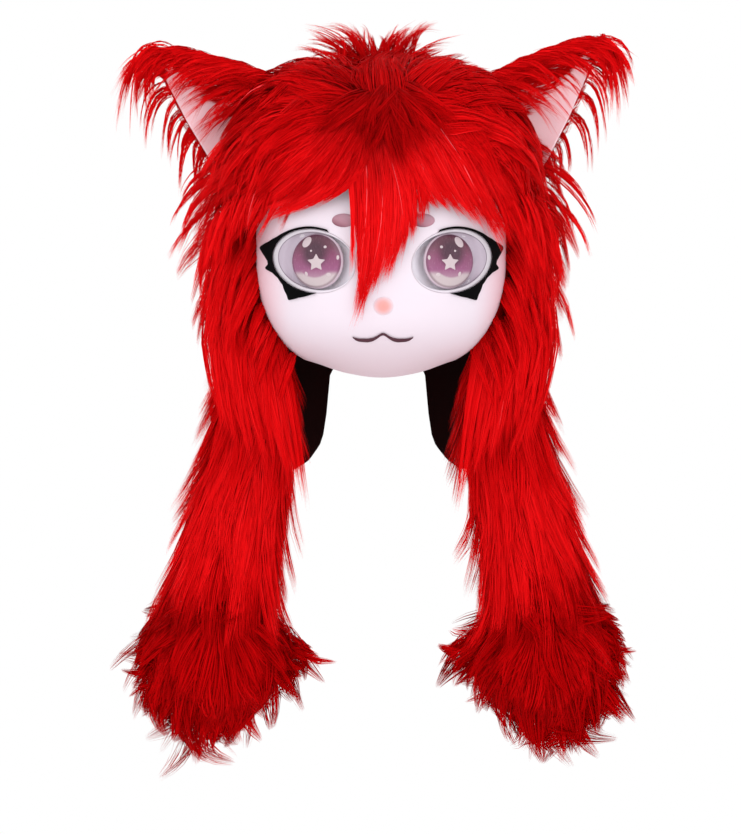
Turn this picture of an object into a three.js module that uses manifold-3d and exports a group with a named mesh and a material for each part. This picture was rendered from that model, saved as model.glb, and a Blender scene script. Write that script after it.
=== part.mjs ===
// A worn costume head: a hard face shell with recessed eyes, long red fur and two ears,
// and a lined hood whose two front lappets end in stuffed paws.
// Millimetres, +Z up, the face towards -Y and +X on the viewer's right.
// The origin is the inner crown of the shell, which the wearer's head carries.

import * as THREE from "three";
import { mergeVertices } from "three/addons/utils/BufferGeometryUtils.js";
import Module from "manifold-3d";

const wasm = await Module();
wasm.setup();

// Clearance between pieces that meet
const GAP = 0.3;

// Hard head shell, a rounded form; the widest ring is its centre
const HEAD = {
  wall: 7,
  halfWidth: 145,
  front: 150,
  back: 145,
  up: 172,
  down: 145,
  roundUp: 2.4,
  roundDown: 2.4,
  roundPlan: 2.4,
};
HEAD.centreZ = HEAD.wall - HEAD.up;

// Neck opening in the underside of the shell
const NECK = { halfWidth: 88, halfDepth: 86, centreY: 24, lip: 80 };

// Depth of the brushed fur on the shell
const FUR = { side: 37, front: 15, back: 40, crown: 46, under: 25, hem: 48 };
const CAP = {
  halfWidth: HEAD.halfWidth + FUR.side,
  front: HEAD.front + FUR.front,
  back: HEAD.back + FUR.back,
  up: HEAD.up + FUR.crown,
  down: HEAD.down + FUR.under,
  centreZ: HEAD.centreZ,
  roundUp: 3.3,
  roundDown: 2.4,
  roundPlan: 2.4,
};
const CAP_BOTTOM = HEAD.centreZ - HEAD.down + FUR.hem;

// Opening in the fur that shows the face: how far its top lies above the widest ring,
// how far it clears the shell sideways, and how far back it is cut
const FACE = { top: 103, clear: 3, rear: 25 };

// Eye openings, their recessed bowls and the lenses in them
const EYE = { halfWidth: 47.3, halfHeight: 35.9, inward: 0.543, drop: 12, tiltAngle: 13.7 };
const BOWL = { rim: 3.5, recess: 9, floor: 4, shift: 2.5 };
const IRIS = { halfWidth: 28.9, halfHeight: 31.9, rise: 7, shift: 4 };

// Flat trim laid on the face
const TRIM = 2;
const BROW = { halfWidth: 13.5, halfHeight: 7.8, across: 45.4, above: 46.5 };
const NOSE = { halfWidth: 10, halfHeight: 9.2, rise: 7, drop: 63.5 };
const MOUTH = { halfWidth: 34.6, drop: 99, peak: 8, thick: 4 };

// Ears: wall, depth of the bowl at its root, where they stand on the fur, and how far their
// tips reach past its side and top; the table holds each ear's share of both reaches
const EAR = {
  wall: 10,
  bowl: 30,
  medialAngle: 61,
  lateralAngle: 10.4,
  frontY: -12,
  rearY: 22,
  sink: 6,
  reach: 80,
  above: 17,
};
const EAR_LINING = 2;
const EARS = [
  { name: "left", side: -1, reach: 1, above: 1 },
  { name: "right", side: 1, reach: 0.89, above: 1.7 },
];

// Lappets, paws and the hood that carries them
const LAPPET = { length: 305, halfWidth: 48, halfDepth: 26, centreX: 144, centreY: 36, swing: 40 };
const PAW = { halfWidth: 76, halfDepth: 52, halfHeight: 78, overlap: 12, aside: 4 };
const HOOD = { halfWidth: 128, depth: 78, wall: 2.5, length: 153, nape: 22, arch: 86 };

// Locks of fur: usual width, thickness as a share of it, how deep the root sits in its
// backing, and how far a loose tip flares out
const LOCK = { width: 50, depth: 0.34, sink: 6, flare: 55 };

// Number of steps round a rounded form and over it
const AROUND = 20;
const OVER = 10;
const STEP = (2 * Math.PI) / AROUND;
const LENS_STEPS = 10;

// Length of the bodies that only cut
const CUTTER = 2 * (HEAD.front + CAP.halfWidth);
const WELD = 1e-4;
const DEGREE = Math.PI / 180;
const SIDES = [
  { name: "left", side: -1 },
  { name: "right", side: 1 },
];

const at = (x, y, z) => new THREE.Vector3(x, y, z);
const mix = THREE.MathUtils.lerp;
const signedPower = (value, power) => Math.sign(value) * Math.abs(value) ** power;

// Geometry as a solid that faces out and can be joined and cut
function solid(geometry) {
  const bare = new THREE.BufferGeometry();
  bare.setAttribute("position", geometry.getAttribute("position"));
  bare.setIndex(geometry.getIndex());
  const welded = mergeVertices(bare, WELD);
  const vertProperties = new Float32Array(welded.getAttribute("position").array);
  const triVerts = new Uint32Array(welded.getIndex().array);
  const made = () => new wasm.Manifold(new wasm.Mesh({ numProp: 3, vertProperties, triVerts }));
  const first = made();
  if (first.volume() >= 0) return first;
  for (let i = 0; i < triVerts.length; i += 3) {
    const swapped = triVerts[i + 1];
    triVerts[i + 1] = triVerts[i + 2];
    triVerts[i + 2] = swapped;
  }
  return made();
}

// Triangles that close a ring of points, wound as the ring is
function lid(ring, start) {
  const normal = at(0, 0, 0);
  ring.forEach((point, i) => {
    const next = ring[(i + 1) % ring.length];
    normal.add(new THREE.Vector3().crossVectors(point, next));
  });
  normal.normalize();
  const u = ring[1].clone().sub(ring[0]).normalize();
  const v = new THREE.Vector3().crossVectors(normal, u);
  const flat = ring.map((point) => new THREE.Vector2(point.dot(u), point.dot(v)));
  const faces = THREE.ShapeUtils.triangulateShape(flat, []);
  const [a, b, c] = faces[0].map((index) => flat[index]);
  const wound = THREE.ShapeUtils.area([a, b, c]) > 0;
  return faces.flatMap(([i, j, k]) => (wound ? [i, j, k] : [i, k, j]).map((index) => start + index));
}

// A solid through rings of points; a ring of one point is a tip
function loft(rings) {
  const points = rings.flat();
  const faces = [];
  let start = 0;
  rings.slice(1).forEach((upper, i) => {
    const lower = rings[i];
    const above = start + lower.length;
    const steps = Math.max(lower.length, upper.length);
    for (let k = 0; k < steps; k += 1) {
      const next = (k + 1) % steps;
      if (lower.length > 1) faces.push(start + k, start + next, above + (k % upper.length));
      if (upper.length > 1) faces.push(start + (next % lower.length), above + next, above + k);
    }
    start = above;
  });
  const last = rings.at(-1);
  if (rings[0].length > 1) faces.push(...lid(rings[0], 0).reverse());
  if (last.length > 1) faces.push(...lid(last, start));
  const geometry = new THREE.BufferGeometry().setFromPoints(points);
  geometry.setIndex(faces);
  return solid(geometry);
}

// The closed outline of a rounded shape, from its half sizes
function roundShape(halfX, halfY, power, centreX = 0, centreY = 0) {
  const points = [];
  for (let i = 0; i < AROUND; i += 1) {
    const x = halfX * signedPower(Math.cos(i * STEP), 2 / power);
    const y = halfY * signedPower(Math.sin(i * STEP), 2 / power);
    points.push(new THREE.Vector2(centreX + x, centreY + y));
  }
  return new THREE.Shape(points);
}

// A prism through the front, from an outline in the face's own x and z
function frontPrism(shape, nearY = 0) {
  const geometry = new THREE.ExtrudeGeometry(shape, { depth: CUTTER, bevelEnabled: false });
  geometry.rotateX(Math.PI / 2);
  geometry.translate(0, nearY, 0);
  return solid(geometry);
}

// An upright prism between two heights
function uprightPrism(shape, low, high) {
  const geometry = new THREE.ExtrudeGeometry(shape, { depth: high - low, bevelEnabled: false });
  geometry.translate(0, 0, low);
  return solid(geometry);
}

// Everything below a height
function below(height) {
  return uprightPrism(roundShape(CUTTER, CUTTER, 2), height - CUTTER, height);
}

// A point on a rounded form, by its turn from the face and its rise above the widest ring
function onForm(form, turn, rise, out = 0) {
  const upper = Math.sin(rise) >= 0;
  const round = upper ? form.roundUp : form.roundDown;
  const ring = Math.abs(Math.cos(rise)) ** (2 / round);
  const height = signedPower(Math.sin(rise), 2 / round);
  const across = signedPower(Math.sin(turn), 2 / form.roundPlan);
  const along = signedPower(Math.cos(turn), 2 / form.roundPlan);
  return at(
    (form.halfWidth + out) * ring * across,
    -((along > 0 ? form.front : form.back) + out) * ring * along,
    form.centreZ + ((upper ? form.up : form.down) + out) * height,
  );
}

// The height on a form for a share of its reach above or below the widest ring
function heightOn(form, share) {
  return form.centreZ + share * (share > 0 ? form.up : form.down);
}

// A point on the front of a form, from its x and its height
function onFront(form, x, z, out = 0) {
  const upper = z > form.centreZ;
  const round = upper ? form.roundUp : form.roundDown;
  const rise = Math.abs(z - form.centreZ) / ((upper ? form.up : form.down) + out);
  const ring = Math.max(1 - rise ** round, 0) ** (form.roundPlan / round);
  const across = (Math.abs(x) / (form.halfWidth + out)) ** form.roundPlan;
  const depth = (form.front + out) * Math.max(ring - across, 0) ** (1 / form.roundPlan);
  return at(x, -depth, z);
}

// A whole rounded form, grown outwards by a distance
function dome(form, out = 0) {
  const rings = [];
  for (let j = 0; j <= OVER; j += 1) {
    const rise = (j / OVER - 0.5) * Math.PI;
    if (j === 0 || j === OVER) {
      rings.push([onForm(form, 0, rise, out).setX(0).setY(0)]);
      continue;
    }
    const ring = [];
    for (let i = 0; i < AROUND; i += 1) ring.push(onForm(form, i * STEP, rise, out));
    rings.push(ring);
  }
  return loft(rings);
}

// A panel that lies on a form, over a span of its steps round and over
function panel(form, turns, rises, inner, outer) {
  const rings = [];
  for (let j = rises[0]; j <= rises[1]; j += 1) {
    const under = [];
    const over = [];
    for (let i = turns[0]; i <= turns[1]; i += 1) {
      under.push(onForm(form, i * STEP, j * STEP, inner));
      over.unshift(onForm(form, i * STEP, j * STEP, outer));
    }
    rings.push([...under, ...over]);
  }
  return loft(rings);
}

// The sections of a lock of fur along its length, as shares of its width
const LOCK_SECTIONS = [
  { along: 0, width: 0.8 },
  { along: 0.35, width: 1 },
  { along: 0.7, width: 0.66 },
];

// One tapered lock of fur, bent over three points; its flat side faces outward
function lock({ root, bend, tip, width, outward }, grow = 0) {
  const curve = new THREE.QuadraticBezierCurve3(root, bend, tip);
  const slope = 1 / LOCK.depth;
  const rings = LOCK_SECTIONS.map((section) => {
    const centre = curve.getPoint(section.along);
    const ahead = curve.getTangent(section.along);
    const sideways = new THREE.Vector3().crossVectors(ahead, outward).normalize();
    const thick = new THREE.Vector3().crossVectors(sideways, ahead);
    const half = (section.width * width * LOCK.width) / 2;
    sideways.multiplyScalar(half + grow * Math.hypot(1, slope));
    thick.multiplyScalar(half * LOCK.depth + grow * Math.hypot(1, LOCK.depth));
    return [
      centre.clone().add(sideways),
      centre.clone().add(thick),
      centre.clone().sub(sideways),
      centre.clone().sub(thick),
    ];
  });
  const point = tip.clone().addScaledVector(curve.getTangent(1), grow * slope);
  return loft([...rings, [point]]);
}

// Joins a base and its locks
function furred(base, locks, grow = 0) {
  return locks.reduce((made, one) => made.add(lock(one, grow)), base);
}

// Cuts a body, and keeps the main piece of what is left
function carved(body, cutters) {
  const left = cutters.reduce((made, cutter) => made.subtract(cutter), body);
  return left.decompose().reduce((best, one) => (one.volume() > best.volume() ? one : best));
}

// Head shell: hollow, open at the neck and at the eyes
function headShell() {
  const bottom = HEAD.centreZ - HEAD.down;
  const neckShape = roundShape(NECK.halfWidth, NECK.halfDepth, 2, 0, NECK.centreY);
  const neck = uprightPrism(neckShape, bottom - HEAD.wall, bottom + NECK.lip);
  const eyes = SIDES.map(({ side }) => frontPrism(eyeShape(side, GAP)));
  return carved(dome(HEAD), [dome(HEAD, -HEAD.wall), neck, ...eyes]);
}

// Middle of an eye in the front view
const eyeX = (side) => side * EYE.inward * HEAD.halfWidth;
const eyeZ = HEAD.centreZ - EYE.drop;

// A point of the eye's tilted oval in the front view; the angle starts at its outer end
function eyePoint(side, angle, reach = 1, grow = 0, shift = 0) {
  const long = (EYE.halfWidth + grow) * reach * Math.cos(angle);
  const short = (EYE.halfHeight + grow) * reach * Math.sin(angle);
  const tilt = EYE.tiltAngle * DEGREE;
  const across = long * Math.cos(tilt) - short * Math.sin(tilt) - shift;
  const up = long * Math.sin(tilt) + short * Math.cos(tilt);
  return new THREE.Vector2(eyeX(side) + side * across, eyeZ + up);
}

function eyeShape(side, grow, shift = 0) {
  const points = [];
  for (let i = 0; i < AROUND; i += 1) points.push(eyePoint(side, i * STEP, 1, grow, shift));
  return new THREE.Shape(points);
}

// Eye bowl: a rim level with the face and a floor set back behind it
function eyeBowl(side) {
  const pocket = frontPrism(eyeShape(side, -BOWL.rim, BOWL.shift)).subtract(dome(HEAD, -BOWL.recess));
  const rim = frontPrism(eyeShape(side, 0)).intersect(dome(HEAD));
  return carved(rim, [dome(HEAD, -BOWL.recess - BOWL.floor), pocket]);
}

// Iris: a clear-fronted lens that stands on the floor of its bowl and faces as the floor does
function iris(side) {
  const x = eyeX(side) - side * IRIS.shift;
  const seat = onFront(HEAD, x, eyeZ, -BOWL.recess);
  const aside = onFront(HEAD, x + side * IRIS.halfWidth, eyeZ, -BOWL.recess);
  const slant = Math.atan2(aside.y - seat.y, IRIS.halfWidth);
  const lens = new THREE.SphereGeometry(1, LENS_STEPS, LENS_STEPS / 2);
  lens.scale(IRIS.halfWidth / Math.cos(slant), IRIS.rise, IRIS.halfHeight);
  lens.rotateZ(side * slant);
  lens.translate(seat.x, seat.y, seat.z);
  return carved(solid(lens), [dome(HEAD, -BOWL.recess + GAP)]);
}

// Trim cut from flat sheet and laid on the face
function onFace(shape, thick = TRIM) {
  return carved(frontPrism(shape).intersect(dome(HEAD, GAP + thick)), [dome(HEAD, GAP)]);
}

// Outer edge of the dark eye line: angles round the eye from its outer end, and how far
// it stands from the middle in shares of the eye's own oval
const EYELINE_OUTER = [
  { angle: 96, reach: 1.07 },
  { angle: 76, reach: 1.09 },
  { angle: 58, reach: 1.08 },
  { angle: 42, reach: 1.08 },
  { angle: 26, reach: 1.1 },
  { angle: 10, reach: 1.21 },
  { angle: 0.5, reach: 1.34 },
  { angle: -8, reach: 1.24 },
  { angle: -18, reach: 1.14 },
  { angle: -24, reach: 1.15 },
  { angle: -28, reach: 1.24 },
  { angle: -36, reach: 1.15 },
  { angle: -46, reach: 1.09 },
  { angle: -58, reach: 1.14 },
  { angle: -70, reach: 1.325 },
  { angle: -75, reach: 1.45 },
  { angle: -83, reach: 1.27 },
  { angle: -94, reach: 1.1 },
];
const EYELINE_INNER = { fromAngle: -102, toAngle: 98, steps: 12, reach: 1.01 };

// Eye line: thin over the eye, heavy and spiked at its outer side
function eyeline(side) {
  const outline = EYELINE_OUTER.map(({ angle, reach }) => eyePoint(side, angle * DEGREE, reach));
  for (let i = 0; i <= EYELINE_INNER.steps; i += 1) {
    const angle = mix(EYELINE_INNER.fromAngle, EYELINE_INNER.toAngle, i / EYELINE_INNER.steps);
    outline.push(eyePoint(side, angle * DEGREE, EYELINE_INNER.reach));
  }
  return onFace(new THREE.Shape(outline));
}

function browSpot(side) {
  const z = eyeZ + BROW.above;
  return onFace(roundShape(BROW.halfWidth, BROW.halfHeight, 2, side * BROW.across, z));
}

// Nose: a small soft button on the face
function nose() {
  const seat = onFront(HEAD, 0, HEAD.centreZ - NOSE.drop);
  const button = new THREE.SphereGeometry(1, LENS_STEPS, LENS_STEPS / 2);
  button.scale(NOSE.halfWidth, NOSE.rise, NOSE.halfHeight);
  button.translate(seat.x, seat.y, seat.z);
  return carved(solid(button), [dome(HEAD, GAP)]);
}

// The mouth's line: two dips with a peak between them, thinner at its ends
const MOUTH_LINE = [
  { across: -1, up: 0.42, thick: 0.25 },
  { across: -0.78, up: 0.06, thick: 0.8 },
  { across: -0.5, up: 0, thick: 1 },
  { across: -0.24, up: 0.36, thick: 0.85 },
  { across: 0, up: 0.9, thick: 0.75 },
  { across: 0.24, up: 0.36, thick: 0.85 },
  { across: 0.5, up: 0, thick: 1 },
  { across: 0.78, up: 0.06, thick: 0.8 },
  { across: 1, up: 0.42, thick: 0.25 },
];

function mouthLine() {
  const base = HEAD.centreZ - MOUTH.drop - MOUTH.peak / 2;
  const edge = (sign) =>
    MOUTH_LINE.map(({ across, up, thick }) => {
      const z = base + up * MOUTH.peak + (sign * thick * MOUTH.thick) / 2;
      return new THREE.Vector2(across * MOUTH.halfWidth, z);
    });
  return onFace(new THREE.Shape([...edge(-1), ...edge(1).reverse()]));
}

// Rows of locks on the back of the head, from the top down; heights are shares of the fur
// form, widths and flares of the usual ones. Every other lock is shorter.
const BACK_ROWS = [
  { from: 0.72, to: 0.12, turnAngle: 122, locks: 4, width: 1.28, flare: 0.2 },
  { from: 0.3, to: -0.32, turnAngle: 108, locks: 6, width: 1.2, flare: 0.3 },
  { from: -0.12, to: -0.78, turnAngle: 106, locks: 8, width: 1, flare: 0.36 },
];
const BACK_SHORT = 0.82;

function backLocks() {
  return BACK_ROWS.flatMap((row) => {
    const locks = [];
    for (let i = 0; i < row.locks; i += 1) {
      const turn = DEGREE * mix(row.turnAngle, 360 - row.turnAngle, i / (row.locks - 1));
      const reach = i % 2 ? 1 : BACK_SHORT;
      const root = hung(CAP, turn, heightOn(CAP, row.from), -LOCK.sink);
      const tipZ = mix(heightOn(CAP, row.from), heightOn(CAP, row.to), reach);
      const bend = hung(CAP, turn, mix(root.z, tipZ, 0.5), LOCK.sink);
      const tip = hung(CAP, turn, tipZ, row.flare * LOCK.flare * reach);
      const outward = at(bend.x, bend.y, 0).normalize();
      locks.push({ root, bend, tip, width: row.width, outward });
    }
    return locks;
  });
}

// A point on a form at a height; under the widest ring it keeps that ring's width
function hung(form, turn, z, out) {
  const upper = z > form.centreZ;
  const share = upper ? (z - form.centreZ) / form.up : 0;
  const rise = Math.asin(Math.min(share, 1) ** (form.roundUp / 2));
  return onForm(form, turn, rise, out).setZ(z);
}

// Opening in the fur for the face, cut from the front
function faceOpening(grow) {
  const halfX = HEAD.halfWidth + FACE.clear - grow;
  const top = FACE.top - grow;
  const shape = new THREE.Shape();
  shape.moveTo(-halfX, HEAD.centreZ - CUTTER / 2);
  shape.lineTo(halfX, HEAD.centreZ - CUTTER / 2);
  shape.lineTo(halfX, HEAD.centreZ);
  for (let i = 1; i < OVER; i += 1) {
    const angle = (i * Math.PI) / OVER;
    const x = halfX * signedPower(Math.cos(angle), 2 / HEAD.roundUp);
    shape.lineTo(x, HEAD.centreZ + top * signedPower(Math.sin(angle), 2 / HEAD.roundUp));
  }
  shape.lineTo(-halfX, HEAD.centreZ);
  return frontPrism(shape, -FACE.rear - grow);
}

// Fur cap over the top, back and sides of the shell
function hairCap(grow = 0) {
  const shell = carved(dome(CAP, grow), [faceOpening(grow), below(CAP_BOTTOM - grow)]);
  return carved(furred(shell, backLocks(), grow), [dome(HEAD, GAP - grow)]);
}

// Ear sections from root to tip: share of the way, and how full the edges are there
const EAR_SECTIONS = [
  { along: -0.1, full: 0 },
  { along: 0.25, full: 0.8 },
  { along: 0.5, full: 1 },
  { along: 0.75, full: 0.75 },
  { along: 0.93, full: 0.3 },
];
const EAR_ACROSS = [-1, -0.8, -0.4, 0, 0.4, 0.8, 1];
const EAR_FULL = 9;

// A point of the ear's middle sheet; across runs from the outer edge to the inner one
function earPoint(ear, section, across) {
  const medial = onForm(CAP, Math.PI / 2, EAR.medialAngle * DEGREE, -EAR.sink);
  const lateral = onForm(CAP, Math.PI / 2, EAR.lateralAngle * DEGREE, -EAR.sink);
  const top = CAP.centreZ + CAP.up;
  const tip = at(CAP.halfWidth + ear.reach * EAR.reach, 0, top + ear.above * EAR.above);
  const upper = medial.lerp(tip, section.along);
  const lower = lateral.lerp(tip, section.along);
  const edge = new THREE.Vector3().subVectors(upper, lower).normalize();
  upper.addScaledVector(edge, EAR_FULL * section.full);
  lower.addScaledVector(edge, -EAR_FULL * section.full);
  const share = (across + 1) / 2;
  const point = lower.lerp(upper, share);
  const left = 1 - Math.max(section.along, 0);
  const bowl = EAR.bowl * left * (1 - across ** 2);
  const y = mix(EAR.rearY, EAR.frontY, share) + bowl;
  return at(ear.side * point.x, y, point.z);
}

// A bowed sheet of ear between two depths
function earSheet(ear, sections, steps, near, far) {
  const sheet = (section, offset) =>
    steps.map((across) => earPoint(ear, section, across).add(at(0, offset, 0)));
  return loft(sections.map((section) => [...sheet(section, near), ...sheet(section, far).reverse()]));
}

// Locks that droop from the ear's outer edge and its tip: where, and how far out and down
// they reach, in shares of their length
const EAR_LOCKS = [
  { along: 0.22, across: -0.9, out: 0.27, down: 0.87, width: 0.52 },
  { along: 0.42, across: -0.9, out: 0.47, down: 0.97, width: 0.52 },
  { along: 0.62, across: -0.9, out: 0.57, down: 1.03, width: 0.52 },
  { along: 0.8, across: -0.7, out: 0.63, down: 1, width: 0.52 },
  { along: 0.9, across: 0, out: 0.77, down: 0.8, width: 0.56 },
  { along: 0.86, across: 0.8, out: 0.93, down: 0.67, width: 0.56 },
];

const EAR_DROOP = { length: 60, full: 0.5, bendOut: 0.8, bendDown: 0.1 };

function earLocks(ear) {
  return EAR_LOCKS.map(({ along, across, out, down, width }) => {
    const root = earPoint(ear, { along, full: EAR_DROOP.full }, across);
    const aside = ear.side * out * EAR_DROOP.length;
    const fall = -down * EAR_DROOP.length;
    const bend = root.clone().add(at(aside * EAR_DROOP.bendOut, 0, fall * EAR_DROOP.bendDown));
    const tip = root.clone().add(at(aside, 0, fall));
    return { root, bend, tip, width, outward: at(0, -1, 0) };
  });
}

function earBody(ear, grow = 0) {
  const near = -EAR.wall / 2 - grow;
  const far = EAR.wall / 2 + grow;
  const body = earSheet(ear, EAR_SECTIONS, EAR_ACROSS, near, far);
  return furred(body, earLocks(ear), grow);
}

function earLining(ear) {
  const near = -EAR.wall / 2 - GAP - EAR_LINING;
  const far = -EAR.wall / 2 - GAP;
  return earSheet(ear, EAR_SECTIONS.slice(0, 4), EAR_ACROSS.slice(1, 6), near, far);
}

// Lappet sections from the top down: share of its length, its swing outwards and its half width
const LAPPET_SECTIONS = [
  { drop: 0, swing: 0, width: 0.72 },
  { drop: 0.22, swing: -0.06, width: 0.9 },
  { drop: 0.46, swing: 0.14, width: 1.06 },
  { drop: 0.7, swing: 0.56, width: 1.14 },
  { drop: 1, swing: 1, width: 1.3 },
];
const LAPPET_TOP = CAP_BOTTOM - GAP;
const LAPPET_AROUND = 10;
const LAPPET_ROUND = 2.6;

// A point on a lappet's surface, by its drop and its angle round it
function onLappet(side, drop, angle, out) {
  const next = Math.max(LAPPET_SECTIONS.findIndex((section) => section.drop >= drop), 1);
  const [a, b] = LAPPET_SECTIONS.slice(next - 1, next + 1);
  const share = (drop - a.drop) / (b.drop - a.drop);
  const halfX = LAPPET.halfWidth * mix(a.width, b.width, share) + out;
  const swing = LAPPET.swing * mix(a.swing, b.swing, share);
  const x = LAPPET.centreX + swing + halfX * signedPower(Math.cos(angle), 2 / LAPPET_ROUND);
  const y = (LAPPET.halfDepth + out) * signedPower(Math.sin(angle), 2 / LAPPET_ROUND);
  return at(side * x, LAPPET.centreY + y, LAPPET_TOP - drop * LAPPET.length);
}

// Rows of locks round a lappet: from and to in shares of its length, width and how far out
// the tips stand in shares of the usual ones. Every other lock is shorter.
const LAPPET_ROWS = [
  { from: 0.12, to: 0.62, locks: 5, width: 0.92, out: 0.25, shift: 0 },
  { from: 0.5, to: 1, locks: 5, width: 1, out: 0.33, shift: 0.5 },
];
const LAPPET_SHORT = 0.85;

function lappetLocks(side) {
  return LAPPET_ROWS.flatMap((row) => {
    const locks = [];
    for (let i = 0; i < row.locks; i += 1) {
      const angle = ((i + row.shift) * 2 * Math.PI) / row.locks;
      const to = mix(row.from, row.to, i % 2 ? 1 : LAPPET_SHORT);
      const root = onLappet(side, row.from, angle, -LOCK.sink);
      const bend = onLappet(side, mix(row.from, to, 0.5), angle, LOCK.sink / 2);
      const tip = onLappet(side, to, angle, row.out * LOCK.flare);
      const outward = at(side * Math.cos(angle), Math.sin(angle), 0);
      locks.push({ root, bend, tip, width: row.width, outward });
    }
    return locks;
  });
}

function lappetBody(side, grow = 0) {
  const rings = LAPPET_SECTIONS.map(({ drop }) => {
    const ring = [];
    for (let i = 0; i < LAPPET_AROUND; i += 1) {
      const angle = ((i + 0.5) * 2 * Math.PI) / LAPPET_AROUND;
      ring.push(onLappet(side, drop, angle, grow));
    }
    return ring;
  });
  rings[0].forEach((point) => point.setZ(point.z + grow));
  rings.at(-1).forEach((point) => point.setZ(point.z - grow));
  return furred(loft(rings), lappetLocks(side), grow);
}

// Paw: a stuffed round hand with locks that fan out downwards; the reaches run from the
// outer side of the paw to the inner one, in shares of the palm's half sizes
const PAW_FAN = { fromAngle: 178, toAngle: 364, leanAngle: 18, width: 0.96 };
const PAW_REACH = [1.2, 1.26, 1.32, 1.44, 1.66, 1.66, 1.46, 1.28, 1.16, 1.18, 1.42];
const PALM_STEPS = 10;
const PAW_SIDES = { locks: 3, leanAngle: 52, width: 1.28, reach: 1.24 };

// A paw's lock starts inside the palm, nearer its middle plane, and bends at its surface
const PAW_LOCK = { rootReach: 0.5, rootLean: 0.4, bendReach: 1.08, twist: 0.1 };

function pawCentre(side) {
  const x = side * (LAPPET.centreX + LAPPET.swing + PAW.aside);
  const z = LAPPET_TOP - LAPPET.length - PAW.halfHeight + PAW.overlap;
  return at(x, LAPPET.centreY, z);
}

function onPaw(side, angle, lean, reach) {
  const away = at(
    side * -Math.cos(angle) * Math.cos(lean) * PAW.halfWidth,
    Math.sin(lean) * PAW.halfDepth,
    Math.sin(angle) * Math.cos(lean) * PAW.halfHeight,
  );
  return pawCentre(side).addScaledVector(away, reach);
}

function pawLock(side, angle, lean, reach, width) {
  return {
    root: onPaw(side, angle, lean * PAW_LOCK.rootLean, PAW_LOCK.rootReach),
    bend: onPaw(side, angle, lean, PAW_LOCK.bendReach),
    tip: onPaw(side, angle - lean * PAW_LOCK.twist, lean, reach),
    width,
    outward: at(0, Math.sign(lean), 0),
  };
}

function pawLocks(side) {
  const locks = PAW_REACH.map((reach, i) => {
    const angle = DEGREE * mix(PAW_FAN.fromAngle, PAW_FAN.toAngle, i / (PAW_REACH.length - 1));
    const lean = DEGREE * (i % 2 ? PAW_FAN.leanAngle : -PAW_FAN.leanAngle);
    return pawLock(side, angle, lean, reach, PAW_FAN.width);
  });
  for (let i = 0; i < PAW_SIDES.locks; i += 1) {
    const angle = DEGREE * mix(PAW_FAN.fromAngle, PAW_FAN.toAngle, (i + 0.5) / PAW_SIDES.locks);
    for (const lean of [-PAW_SIDES.leanAngle, PAW_SIDES.leanAngle]) {
      locks.push(pawLock(side, angle, lean * DEGREE, PAW_SIDES.reach, PAW_SIDES.width));
    }
  }
  return locks;
}

function paw(side) {
  const palm = new THREE.SphereGeometry(1, PALM_STEPS, PALM_STEPS / 2);
  palm.rotateX(Math.PI / 2);
  palm.scale(PAW.halfWidth, PAW.halfDepth, PAW.halfHeight);
  const centre = pawCentre(side);
  palm.translate(centre.x, centre.y, centre.z);
  return carved(furred(solid(palm), pawLocks(side)), [lappetBody(side, GAP)]);
}

// Lower edge of the hood: half an arch, from the middle of the back to the lappets.
// Across is a share of the arch's half width, up a share of the hood's length above its hem.
const HOOD_EDGE = [
  { across: 0, up: 0.82 },
  { across: 0.46, up: 0.81 },
  { across: 0.63, up: 0.75 },
  { across: 0.66, up: 0.52 },
  { across: 0.71, up: 0.29 },
  { across: 0.78, up: 0.18 },
  { across: 0.93, up: 0.065 },
  { across: 1.1, up: 0 },
];
const HOOD_STEPS = 16;
const HOOD_TOP = CAP_BOTTOM - GAP;

// Everything under the hood's arched edge, seen from the front
function underArch(raise = 0) {
  const hem = HOOD_TOP - HOOD.length;
  const half = HOOD_EDGE.map(
    ({ across, up }) => new THREE.Vector2(across * HOOD.arch, hem + up * HOOD.length + raise),
  );
  const last = half.at(-1);
  half.push(new THREE.Vector2(CUTTER / 2, last.y), new THREE.Vector2(CUTTER / 2, last.y - CUTTER));
  const mirrored = half.slice(1).map(({ x, y }) => new THREE.Vector2(-x, y));
  return frontPrism(new THREE.Shape([...half, ...mirrored.reverse()]), CUTTER / 2);
}

// The hood's wall in plan: round the back of the neck and forward into the lappets
function hoodRing(inner, outer, z) {
  const rim = (out) => {
    const points = [at(-HOOD.halfWidth - out, LAPPET.centreY, z)];
    for (let i = 0; i <= HOOD_STEPS; i += 1) {
      const angle = Math.PI * (1 - i / HOOD_STEPS);
      const x = (HOOD.halfWidth + out) * Math.cos(angle);
      const y = LAPPET.centreY + LAPPET.halfDepth + (HOOD.depth + out) * Math.sin(angle);
      points.push(at(x, y, z));
    }
    points.push(at(HOOD.halfWidth + out, LAPPET.centreY, z));
    return points;
  };
  return [...rim(outer), ...rim(inner).reverse()];
}

function hoodWall(inner, outer) {
  return loft([hoodRing(inner, outer, HOOD_TOP - HOOD.length), hoodRing(inner, outer, HOOD_TOP)]);
}

function lappetCutters() {
  return SIDES.map(({ side }) => lappetBody(side, GAP));
}

function hoodLining() {
  return carved(hoodWall(0, HOOD.wall), [underArch(), dome(HEAD, GAP), ...lappetCutters()]);
}

// Fur on the outside of the hood, and the locks that hang from it on both sides of the arch
const NAPE_LOCKS = [
  { turnAngle: 32, drop: 0.98 },
  { turnAngle: 44, drop: 1.12 },
  { turnAngle: 56, drop: 1.22 },
  { turnAngle: 68, drop: 1.14 },
];
const NAPE = { root: 0.25, bend: 0.7, width: 0.68 };

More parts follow.
